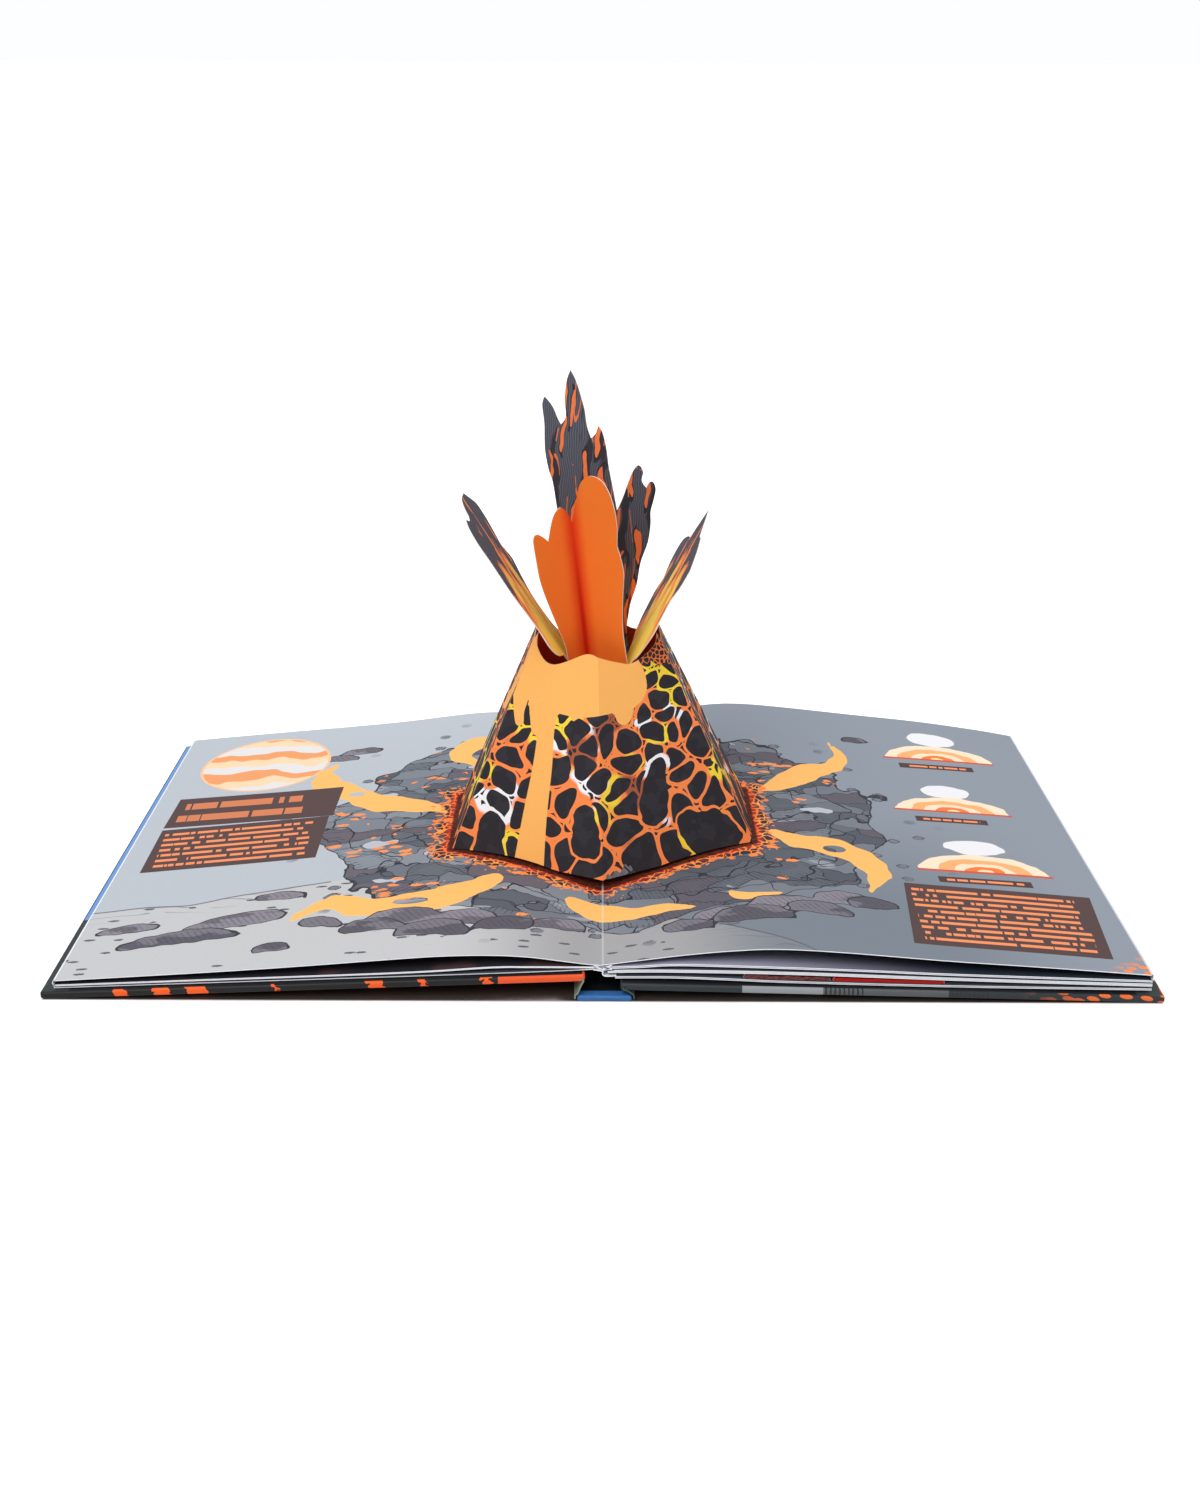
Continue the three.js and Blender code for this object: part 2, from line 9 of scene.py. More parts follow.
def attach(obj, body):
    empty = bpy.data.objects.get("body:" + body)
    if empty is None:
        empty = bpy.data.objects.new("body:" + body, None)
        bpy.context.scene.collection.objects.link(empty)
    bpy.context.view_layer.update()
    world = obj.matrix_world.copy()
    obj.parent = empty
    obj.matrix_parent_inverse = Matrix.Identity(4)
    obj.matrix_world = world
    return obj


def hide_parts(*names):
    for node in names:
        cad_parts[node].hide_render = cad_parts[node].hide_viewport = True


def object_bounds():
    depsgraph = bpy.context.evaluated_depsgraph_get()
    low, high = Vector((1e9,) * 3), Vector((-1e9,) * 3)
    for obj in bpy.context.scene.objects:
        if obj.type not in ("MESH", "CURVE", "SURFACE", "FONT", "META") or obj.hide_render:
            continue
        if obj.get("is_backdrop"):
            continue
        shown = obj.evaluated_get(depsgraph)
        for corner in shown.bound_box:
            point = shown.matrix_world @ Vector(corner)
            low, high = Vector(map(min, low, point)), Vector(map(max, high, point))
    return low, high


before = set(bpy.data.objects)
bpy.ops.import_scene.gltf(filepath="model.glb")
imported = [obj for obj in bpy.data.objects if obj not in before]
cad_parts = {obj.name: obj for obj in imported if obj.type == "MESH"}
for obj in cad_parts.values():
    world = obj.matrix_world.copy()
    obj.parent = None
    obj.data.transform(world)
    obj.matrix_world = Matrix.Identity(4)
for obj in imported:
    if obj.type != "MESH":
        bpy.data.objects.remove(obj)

sizes = {"frame": [list(corner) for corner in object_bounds()]}

# A hardback pop up book lies open at its volcano spread. Lengths are millimetres until a mesh is made.
# X runs along the open book, Y from its front edge to its back edge, Z up from the table.
# In the prints, a number beside noise or cells is how many of its hills or cells fit in a millimetre.

MM = 1000.0


# Camera, floor and light: the photograph's viewpoint, a white table and soft light from above and from
# the left, with little from low in front, so the gaps under the covers and leaves are dark.

CAMERA_AT = (-2.47, -815.6, 392.7)
CAMERA_PITCH, CAMERA_YAW, CAMERA_ROLL = 0.386, -0.0012, 0.0042
CAMERA_LENS, CAMERA_SENSOR = 41.32, 36
FLOOR_REACH = 60.0
FLOOR_WHITE, FLOOR_SEEN = (0.86, 0.86, 0.86, 1), (1.3, 1.3, 1.3, 1)
# The seen colour of the table's painted shade under the covers
FLOOR_SHADED = (0.05, 0.036, 0.03, 1)
SHADE_REACH, SHADE_SAMPLES = 0.012, 12
SHADE_FULL, SHADE_NONE = 0.72, 0.985  # shares of open space above the table
SKY_LOW, SKY_HIGH = 0.04, 1.15
SKY_RISE = (0.2, 0.88)                # sines of the heights between which the sky brightens
SKY_FROM_LEFT = 0.08
SUN_STRENGTH = 1.4
SUN_SOFTNESS = 36
SUN_TURN = (36, -20)
BACKDROP = (0.985, 0.99, 1.0, 1)


def rgb(red, green, blue):
    """A linear colour from sRGB numbers between 0 and 255."""
    scaled = [v / 255 for v in (red, green, blue)]
    return tuple(v / 12.92 if v < 0.04045 else ((v + 0.055) / 1.055) ** 2.4 for v in scaled) + (1.0,)


class Wire:
    """An output in the node tree being made. Python's operators on it add Math nodes, or Vector Math
    nodes where a side is a vector."""

    tree = None

    def __init__(self, socket):
        self.socket = socket
        self.is_vector = socket.type in ("VECTOR", "RGBA")

    @classmethod
    def node(cls, kind, inputs=None, output=0, **options):
        """Adds a shader node, sets its options, sets or joins its inputs, and gives one of its outputs."""
        made = cls.tree.nodes.new("ShaderNode" + kind)
        for option, value in options.items():
            setattr(made, option, value)
        for place, value in (inputs or {}).items():
            if isinstance(value, Wire):
                cls.tree.links.new(value.socket, made.inputs[place])
            else:
                made.inputs[place].default_value = value
        return cls(made.outputs[output])

    def maths(self, operation, *others, flip=False):
        """Combines this output with others. With flip the other value comes first."""
        values = [*others, self] if flip else [self, *others]
        if any(isinstance(v, Wire) and v.is_vector or isinstance(v, tuple) for v in values):
            values = [(v, v, v) if isinstance(v, (int, float)) else v for v in values]
            return Wire.node("VectorMath", dict(enumerate(values)), operation=operation)
        return Wire.node("Math", dict(enumerate(values)), operation=operation)

    def __add__(self, other): return self.maths("ADD", other)
    def __radd__(self, other): return self.maths("ADD", other, flip=True)
    def __sub__(self, other): return self.maths("SUBTRACT", other)
    def __rsub__(self, other): return self.maths("SUBTRACT", other, flip=True)
    def __mul__(self, other): return self.maths("MULTIPLY", other)
    def __truediv__(self, other): return self.maths("DIVIDE", other)
    def __mod__(self, other): return self.maths("FLOORED_MODULO", other)
    def __neg__(self): return self.maths("MULTIPLY", -1.0)
    def __abs__(self): return self.maths("ABSOLUTE")
    def __lt__(self, other): return self.maths("LESS_THAN", other)
    def __gt__(self, other): return self.maths("GREATER_THAN", other)
    def most(self, other): return self.maths("MAXIMUM", other)
    def floor(self): return self.maths("FLOOR")

    def parts(self):
        """A vector's three numbers."""
        return [Wire.node("SeparateXYZ", {0: self}, i) for i in range(3)]

    def length(self):
        return Wire.node("VectorMath", {0: self}, 1, operation="LENGTH")

    def ramp(self, low, high):
        """0 below low, 1 above high, smooth between. With low above high it falls instead."""
        inputs = {"Value": self, "From Min": low, "From Max": high}
        return Wire.node("MapRange", inputs, interpolation_type="SMOOTHSTEP")

    def mix(self, first, second):
        """A colour: first where this is 0, second where it is 1."""
        return Wire.node("Mix", {0: self, 6: first, 7: second}, 2, data_type="RGBA")


def vector(x=0.0, y=0.0, z=0.0):
    """A vector from three numbers or outputs."""
    return Wire.node("CombineXYZ", {0: x, 1: y, 2: z})


def noise(where, scale, detail=2.0, roughness=0.5):
    """Smooth random hills, mostly between 0.3 and 0.7."""
    inputs = {"Vector": where, "Scale": scale, "Detail": detail, "Roughness": roughness}
    return Wire.node("TexNoise", inputs)


PAPER_GLOSS, GRAIN_HEIGHT = 0.25, 0.0001


def surface(name, look, roughness=0.8, grain=0.25, grain_size=0.5):
    """A paper material. look() gives its colour, made in its own node tree. The grain is fine fibre,
    its size in millimetres."""
    material = bpy.data.materials.new(name)
    material.use_nodes = True
    tree = Wire.tree = material.node_tree
    shader = tree.nodes["Principled BSDF"]
    colour = look()
    if isinstance(colour, Wire):
        tree.links.new(colour.socket, shader.inputs["Base Color"])
    else:
        shader.inputs["Base Color"].default_value = colour
    shader.inputs["Roughness"].default_value = roughness
    shader.inputs["Specular IOR Level"].default_value = PAPER_GLOSS
    if grain:
        height = noise(millimetres(), 1 / grain_size, 3.0, 0.6)
        bump = Wire.node("Bump", {"Height": height, "Strength": grain, "Distance": GRAIN_HEIGHT})
        tree.links.new(bump.socket, shader.inputs["Normal"])
    return material


def millimetres():
    """The place in the row frame, in millimetres."""
    return Wire.node("TexCoord", output="Object") * MM


scene = bpy.context.scene
camera = bpy.data.objects.new("camera", bpy.data.cameras.new("camera"))
scene.collection.objects.link(camera)
scene.camera = camera
camera.data.lens = CAMERA_LENS
camera.data.sensor_width = CAMERA_SENSOR
camera.matrix_world = (
    Matrix.Translation(Vector(CAMERA_AT) / MM) @ Matrix.Rotation(CAMERA_YAW, 4, "Z")
    @ Matrix.Rotation(math.pi / 2 - CAMERA_PITCH, 4, "X") @ Matrix.Rotation(CAMERA_ROLL, 4, "Z")
)

world = bpy.data.worlds.new("studio")
scene.world = world
world.use_nodes = True
Wire.tree = world.node_tree
rays = [Wire.node("LightPath", output=f"Is {kind} Ray") for kind in ("Camera", "Glossy", "Transmission")]
seen = rays[0].most(rays[1]).most(rays[2])
sideways, _, upward = Wire.node("TexCoord").parts()
lit = (upward - sideways * SKY_FROM_LEFT).ramp(*SKY_RISE) * (SKY_HIGH - SKY_LOW) + SKY_LOW
strength = lit + (1 - lit) * seen
background = world.node_tree.nodes["Background"]
world.node_tree.links.new(strength.socket, background.inputs["Strength"])
background.inputs["Color"].default_value = BACKDROP

sun = bpy.data.objects.new("sun", bpy.data.lights.new("sun", "SUN"))
scene.collection.objects.link(sun)
sun.data.energy = SUN_STRENGTH
sun.data.angle = math.radians(SUN_SOFTNESS)
sun.rotation_euler = (math.radians(SUN_TURN[0]), math.radians(SUN_TURN[1]), 0)

floor_mesh = bpy.data.meshes.new("floor")
floor_corners = [(x * FLOOR_REACH, y * FLOOR_REACH, 0) for x, y in ((-1, -1), (1, -1), (1, 1), (-1, 1))]
floor_mesh.from_pydata(floor_corners, [], [(0, 1, 2, 3)])
floor = bpy.data.objects.new("floor", floor_mesh)
scene.collection.objects.link(floor)


def table_white():
    """White, with painted shade under the book: camera rays see the table darker where a cover stands close
    above it and little open space is left.
    """
    x, y, _ = millimetres().parts()
    half_x, half_y = (MM * length for length in sizes["frame"][1][:2])
    beside = abs(x).ramp(half_x - 2, half_x).most(abs(y).ramp(half_y - 1, half_y + 1))
    space = Wire.node("AmbientOcclusion", {"Distance": SHADE_REACH}, 1, samples=SHADE_SAMPLES)
    # Painted shade: the less open space above, the nearer the seen colour comes to FLOOR_SHADED.
    light = space.ramp(SHADE_FULL, SHADE_NONE).most(beside)
    return Wire.node("LightPath").mix(FLOOR_WHITE, light.mix(FLOOR_SHADED, FLOOR_SEEN))


floor_mesh.materials.append(surface("floor", table_white, 0.9, grain=0))
floor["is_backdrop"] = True


# The leaves. Stiff card sheets are folded at the gutter and at the fore-edges and glued back to back.
# The open spread and the leaf under it are one sheet, so a dark wedge shows between them at the front.

PAGE_WIDTH, PAGE_DEPTH = 245, 288
COVER_REACH, BOARD_WIDTH, BOARD_THICKNESS = 250.7, 243, 3.4
BOARD_RISE = {-1: 10, 1: 5.6}
SHEET = 0.42
SIDE = {-1: "left", 1: "right"}
# How far each leaf's upper face lies above the board, at shares of the page width from the gutter
LEAF_TOPS = {
    -1: {
        "spread": [[0, 3], [0.033, 4.1], [0.067, 5.6], [0.135, 8.5], [0.204, 10], [0.286, 10.4],
                   [0.367, 9.8], [0.65, 6.7], [1, 4.3]],
        "second": [[0, 2.3], [0.067, 3], [0.135, 3.7], [0.204, 4.1], [0.367, 2.9], [0.73, 2.5], [1, 2.2]],
        "third": [[0, 1.5], [0.1, 1.0], [0.367, 0.85], [1, 0.85]],
    },
    1: {
        "spread": [[0, 7.8], [0.065, 10.5], [0.143, 13.6], [0.229, 16.3], [0.318, 17.8], [0.439, 16.9],
                   [0.624, 14], [0.81, 11.8], [1, 9.2]],
        "second": [[0, 6.7], [0.067, 7.7], [0.122, 8.9], [0.19, 9.1], [0.347, 8.8], [0.5, 8.2],
                   [0.65, 7.4], [1, 6.5]],
        "third": [[0, 5.1], [0.122, 6.1], [0.347, 6.4], [0.645, 5.4], [1, 4.8]],
        "fourth": [[0, 1.9], [0.122, 2.7], [0.224, 2.4], [0.347, 1.8], [0.645, 1.6], [1, 2.4]],
    },
}
# How far the open leaf's back edge lifts off the leaves below, at shares of the page width
BACK_LIFT = {
    -1: [[0, 0], [0.08, 3], [0.26, 5.5], [0.49, 3.2], [0.74, 2], [1, 0]],
    1: [[0, 0], [0.08, 4], [0.26, 7.7], [0.48, 6.8], [0.72, 5.2], [0.9, 2.4], [1, 0]],
}
LIFT_START = 72
GRID, COARSE = 2.5, 48  # steps between points on the printed spread, and along straight edges
FOLD_BULGE = 0.9
PAPER_WHITE = rgb(246, 248, 254)


def smooth(points, per_span):
    """A curve through the points: each span is a cubic whose slope at a point is half the step between
    the points on either side of it."""
    p = np.asarray(points, float)
    spans = len(p) - 1
    t = np.linspace(0, spans, spans * per_span + 1)
    i = np.minimum(t.astype(int), spans)
    w = (t - i)[:, None]
    before, here = p[np.maximum(i - 1, 0)], p[i]
    after, beyond = p[np.minimum(i + 1, spans)], p[np.minimum(i + 2, spans)]
    rise, fall = (after - before) / 2, (beyond - here) / 2
    cubic, square = 2 * (here - after) + rise + fall, 3 * (after - here) - 2 * rise - fall
    return cubic * w**3 + square * w**2 + rise * w + here


def board_top(sign, distance):
    """A board's upper face: its thickness, and its rise as it nears the gutter."""
    return BOARD_THICKNESS + (COVER_REACH - distance) * BOARD_RISE[sign] / BOARD_WIDTH


def leaf_line(sign, name, per_span=10):
    """X and Z along a leaf's upper face, from the gutter out."""
    share, lift = smooth(LEAF_TOPS[sign][name], per_span).T
    distance = share * PAGE_WIDTH
    return np.column_stack([sign * distance, board_top(sign, distance) + lift])


def piece(name, points, faces, kinds, materials, body, node, sharp=32, uv=None, fields=None):
    """One shown mesh, from points in millimetres and faces, with each face's material number. uv holds
    named layers of places on the flat sheet, one for each point; fields are named numbers at the points."""
    mesh = bpy.data.meshes.new(name)
    mesh.from_pydata((np.asarray(points) / MM).tolist(), [], [list(map(int, f)) for f in faces])
    for material in materials:
        mesh.materials.append(material)
    mesh.polygons.foreach_set("material_index", np.asarray(kinds, np.int32))
    corners = np.empty(len(mesh.loops), np.int32)
    mesh.loops.foreach_get("vertex_index", corners)
    for layer, places in (uv or {}).items():
        flat = np.asarray(places, np.float32)[corners]
        mesh.uv_layers.new(name=layer).uv.foreach_set("vector", flat.ravel())
    for field, values in (fields or {}).items():
        numbers = mesh.attributes.new(field, "FLOAT", "POINT").data
        numbers.foreach_set("value", np.asarray(values, np.float32))
    mesh.shade_smooth()
    mesh.set_sharp_from_angle(angle=math.radians(sharp))
    mesh.validate()
    thing = bpy.data.objects.new(name, mesh)
    scene.collection.objects.link(thing)
    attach(thing, body)
    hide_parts(node)


def sheet_faces(rows, columns, closed=False):
    """Quads of a grid whose points run along a row first. A closed grid joins its last column to its
    first."""
    r, c = np.meshgrid(np.arange(rows - 1), np.arange(columns if closed else columns - 1), indexing="ij")
    here, right = r * columns + c, r * columns + (c + 1) % columns
    return np.stack([here, right, right + columns, here + columns], -1).reshape(-1, 4)


def sheet(grid, thickness, closed=False):
    """A thin sheet under a grid of points (rows, columns, 3): points, faces and face kinds, which are
    0 above, 1 beneath and 2 on the edges. Beneath is offset along the grid's normal."""
    rows, columns = grid.shape[:2]
    if closed:
        along = np.roll(grid, -1, axis=1) - np.roll(grid, 1, axis=1)
    else:
        along = np.gradient(grid, axis=1)
    normal = np.cross(along, np.gradient(grid, axis=0))
    normal /= np.linalg.norm(normal, axis=-1, keepdims=True)
    points = np.concatenate([grid.reshape(-1, 3), (grid - normal * thickness).reshape(-1, 3)])
    count = rows * columns
    above = sheet_faces(rows, columns, closed)
    index = np.arange(count).reshape(rows, columns)
    rims = [index[0], index[-1][::-1]]
    if not closed:
        rims += [index[:, -1], index[::-1, 0]]
    edges = []
    for rim in rims:
        ends = np.roll(rim, -1) if closed else rim[1:]
        starts = rim if closed else rim[:-1]
        edges.append(np.stack([ends, starts, starts + count, ends + count], -1))
    edges = np.concatenate(edges)
    faces = np.concatenate([above, above[:, ::-1] + count, edges])
    kinds = np.repeat([0, 1, 2], [len(above), len(above), len(edges)])
    return points, faces, kinds


def carried(line, depth, step):
    """A grid from an X and Z line, carried along Y."""
    y = np.linspace(-depth / 2, depth / 2, round(depth / step) + 1)
    grid = np.empty((len(y), len(line), 3))
    grid[..., 0], grid[..., 2] = line[:, 0], line[:, 1]
    grid[..., 1] = y[:, None]
    return grid


def evenly(line, step):
    """The same line with points an even distance apart."""
    travelled = np.concatenate([[0], np.cumsum(np.linalg.norm(np.diff(line, axis=0), axis=1))])
    at = np.linspace(0, travelled[-1], round(travelled[-1] / step) + 1)
    return np.column_stack([np.interp(at, travelled, line[:, k]) for k in range(line.shape[1])])


spread_line = np.concatenate([leaf_line(-1, "spread", 16)[::-1], leaf_line(1, "spread", 16)[1:]])


def page_height(x):
    """The open spread's height above the table, straight between its line's points."""
    return np.interp(x, spread_line[:, 0], spread_line[:, 1])


def back_lift(x, y):
    """The open leaf's lift, which grows with the square of the way from its start to the back edge."""
    edge = np.concatenate([smooth(BACK_LIFT[-1], 6)[:0:-1] * (-1, 1), smooth(BACK_LIFT[1], 6)])
    toward_back = np.maximum(0, (y - LIFT_START) / (PAGE_DEPTH / 2 - LIFT_START))
    return toward_back**2 * np.interp(x / PAGE_WIDTH, edge[:, 0], edge[:, 1])


paper_edge = surface("paper_edge", lambda: PAPER_WHITE, 0.85)
page_dark = surface("page_dark", lambda: noise(millimetres(), 0.05).mix(
    rgb(92, 98, 108), rgb(70, 74, 84)), 0.8)
# Painted shade: inside the right wedge the second leaf's face is pale paper near the gutter, painted dark
# further out where the wedge lies in shade.
paper_inside = surface("paper_inside", lambda: millimetres().parts()[0].ramp(40, 170).mix(
    rgb(176, 174, 198), rgb(40, 50, 64)), 0.85)
# Painted shade: the left second leaf's upper face, inside the dark wedge under the spread, is near black
# with dark red patches.
wedge_painted_shade = surface("wedge_painted_shade", lambda: noise(millimetres(), 0.03).ramp(0.5, 0.6).mix(
    rgb(44, 42, 48), rgb(82, 60, 62)), 0.7)


def segment_distance(x, y, start, end, start_radius, end_radius):
    """Distance to a tapered stroke, below 0 inside it."""
    (ax, ay), (bx, by) = start, end
    dx, dy = bx - ax, by - ay
    share = np.clip(((x - ax) * dx + (y - ay) * dy) / (dx * dx + dy * dy), 0, 1)
    half_width = start_radius + (end_radius - start_radius) * share
    return np.hypot(x - ax - dx * share, y - ay - dy * share) - half_width


def stroke_distance(x, y, places):
    """Distance to a smooth stroke through places given as x, y and half width."""
    line = smooth(places, 4)
    return np.min([
        segment_distance(x, y, a[:2], b[:2], a[2], b[2]) for a, b in zip(line[:-1], line[1:])
    ], axis=0)


# Lava streams: places and half widths. Islands stand in them: centre and half sizes.
STREAMS = [
    [(-80, 14, 4), (-98, 24, 7), (-116, 30, 10), (-134, 44, 8), (-150, 60, 9), (-156, 78, 5),
     (-150, 92, 0.5)],
    [(-52, -66, 4), (-66, -80, 9), (-88, -90, 11), (-110, -92, 9), (-128, -84, 7), (-140, -92, 3),
     (-148, -101, 0.5)],
    [(-14, -84, 4), (-4, -94, 8), (14, -99, 6), (34, -97, 3), (46, -102, 0.5)],
    [(88, -20, 3), (100, -30, 8), (116, -34, 10), (130, -46, 8), (134, -62, 6), (128, -80, 0.5)],
    [(86, 34, 3), (100, 46, 8), (112, 62, 9), (128, 74, 6), (135, 92, 3), (130, 106, 0.5)],
    [(-66, 72, 2), (-80, 88, 6), (-76, 102, 8), (-58, 110, 4), (-42, 112, 0.5)],
    [(58, -84, 1), (68, -92, 4), (84, -89, 0.5)],
]
ISLANDS = [(-91, -88, 9, 3.2), (116, -36, 6, 4), (-134, 46, 5, 3)]
# Rocks in front of the lava and rocks behind them: centre, half width, half height, turn in degrees
NEAR_ROCKS = [(-106, -112, 15, 9, 5), (-78, -119, 17, 11, -4), (-46, -115, 14, 9, 3),
              (-131, -105, 11, 7, -8), (70, -111, 19, 11, 6), (101, -104, 15, 9, -5),
              (127, -95, 12, 8, 4), (39, -118, 12, 8, 0), (-196, -112, 27, 9, 9), (-150, -126, 9, 6, 0),
              (-150, 98, 11, 6, 0), (146, 112, 8, 5, 0)]
FAR_ROCKS = [(-92, -106, 19, 12, 4), (-62, -110, 16, 11, -3), (85, -102, 20, 12, 2),
             (114, -93, 15, 10, -6), (-172, -98, 24, 10, 12), (-222, -100, 14, 6, 4),
             (-154, -74, 13, 6, 0), (54, -111, 14, 10, 0), (-140, 106, 13, 6, 8), (-20, -112, 13, 8, 0)]
# The pale ground at the front ends at this line
SHORE = [(-250, -80), (-200, -76), (-150, -64), (-105, -54), (-60, -62), (-20, -92), (0, -100),
         (30, -108), (60, -121), (90, -139), (110, -156), (250, -156)]
CONE_HALF_WIDTH, CONE_SIDE_HALF_DEPTH, CONE_REACH = 75.5, 33.5, 69


def wobble(x, y, size, seed):
    """A smooth field between about -1 and 1 whose hills are about size apart: crossed sine waves."""
    total = np.zeros_like(x)
    for k in range(5):
        angle = seed * 1.7 + k * 2.4
        rate = 2 * math.pi / size * (0.7 + 0.25 * k)
        along = x * math.cos(angle) + y * math.sin(angle)
        total += np.sin(along * rate + seed * 3 + k * 1.3) / (1 + 0.4 * k)
    return total / 3


def hexagon_distance(x, y):
    """Distance outside the cone's foot, below 0 under the cone."""
    slope = (CONE_REACH - CONE_SIDE_HALF_DEPTH) / CONE_HALF_WIDTH
    roof = (np.abs(y) + slope * np.abs(x) - CONE_REACH) / math.hypot(1, slope)
    return np.maximum(np.abs(x) - CONE_HALF_WIDTH, roof)


def turned(x, y, centre_x, centre_y, degrees):
    """Places measured from a centre, along and across a turned frame."""
    c, s = math.cos(math.radians(degrees)), math.sin(math.radians(degrees))
    return (x - centre_x) * c + (y - centre_y) * s, (y - centre_y) * c - (x - centre_x) * s


def rock_distance(x, y, rocks):
    """Distance to the nearest mound, below 0 inside: an ellipse cut off by a flat foot."""
    found = np.full_like(x, 1e3)
    for cx, cy, half_w, half_h, degrees in rocks:
        u, v = turned(x, y, cx, cy, degrees)
        u = u + v * 0.3 * math.sin(cx)
        body = (np.hypot(u / half_w, v / half_h) - 1) * half_h
        found = np.minimum(found, np.maximum(body, -v - half_h * 0.45))
    return found


def spread_fields(x, y):
    """The distances that the print is drawn from, in millimetres: lava streams, rocky ground, pale ground
    at the front, rocks in front and behind, cone foot."""
    stream = np.min([stroke_distance(x, y, s) for s in STREAMS], axis=0) + 1.9 * wobble(x, y, 17, 2)
    for cx, cy, half_w, half_h in ISLANDS:
        stream = np.maximum(stream, (1 - np.hypot((x - cx) / half_w, (y - cy) / half_h)) * half_h)
    rock = np.hypot(x * 0.82, (y - 2) * 1.03) - 120 + 12 * wobble(x, y, 70, 1) + 5 * wobble(x, y, 27, 5)
    rock = rock + 2.2 * wobble(x, y, 11, 8)
    ragged = 1.3 * wobble(x, y, 12, 3)
    return {
        "stream": stream, "rock": rock, "ring": hexagon_distance(x, y),
        "shore": y - np.interp(x, *np.transpose(SHORE)) + 1.5 * wobble(x, y, 40, 6),
        "near_rock": rock_distance(x, y, NEAR_ROCKS) + ragged,
        "far_rock": rock_distance(x, y, FAR_ROCKS) + ragged,
    }


PANELS = [
    # centre x and y, half width and depth, turn in degrees, rows of bars, share of a row that is bar
    (-188, 37, 45, 19, 2.5, 2, 0.52, 0.62),
    (-189, -9, 44, 25.5, 4, 7, 0.44, 0.92),
    (188, -100, 45, 31, -1.5, 10, 0.46, 0.93),
]
BAR_MARGIN, BAR_MARGIN_AT_ENDS = 3.4, 4
# Captions: centre, half width and half height. Inset and diagrams: centre and size.
CAPTIONS = [(189, 84, 21, 3.2), (184, 11, 19, 3.2), (187, -61, 23, 3.2)]
INSET = (-193, 97, 37)
DIAGRAMS = [(192, 108, 31), (187, 36, 31), (189, -36, 33)]

# A diagram's nested bands: outer radius as a share, and colour
BANDS = [(1.0, rgb(250, 228, 200)), (0.72, rgb(255, 178, 118)), (0.48, rgb(250, 226, 196)),
         (0.3, rgb(246, 126, 62)), (0.12, rgb(255, 222, 170))]
PANEL_BROWN = rgb(80, 61, 61)
BAR_ORANGE = rgb(255, 152, 100)
LAVA_BRIGHT = rgb(255, 140, 66)


def inside_box(u, v, half_u, half_v):
    """1 inside a rectangle."""
    return (abs(u) < half_u) * (abs(v) < half_v)


def drift(where, scale, detail, apart, reach):
    """A push in X and Y that changes slowly from place to place: two noises, the second read apart."""
    return vector(noise(where, scale, detail), noise(where + apart, scale, detail)) * reach


def cells(where, scale, feature="DISTANCE_TO_EDGE", output=0):
    """Cells round scattered seeds. It gives the distance to the cell's edge, or with F1 to its seed."""
    inputs = {"Vector": where, "Scale": scale}
    return Wire.node("TexVoronoi", inputs, output, feature=feature, voronoi_dimensions="2D")


def picked_seeds(where, scale, channel):
    """The distance to the nearest seed, and that seed's own random number."""
    return cells(where, scale, "F1"), cells(where, scale, "F1", 1).parts()[channel]


def outlined(colour, distance, outer, inner, line, fill, where=1.0):
    """A shape over a colour: its fill out to the inner distance, then its line out to the outer one."""
    return ((distance < inner) * where).mix(((distance < outer) * where).mix(colour, line), fill)


def drawn(name):
    """A named number that the mesh holds at its points."""
    return Wire.node("Attribute", {}, 2, attribute_name=name)


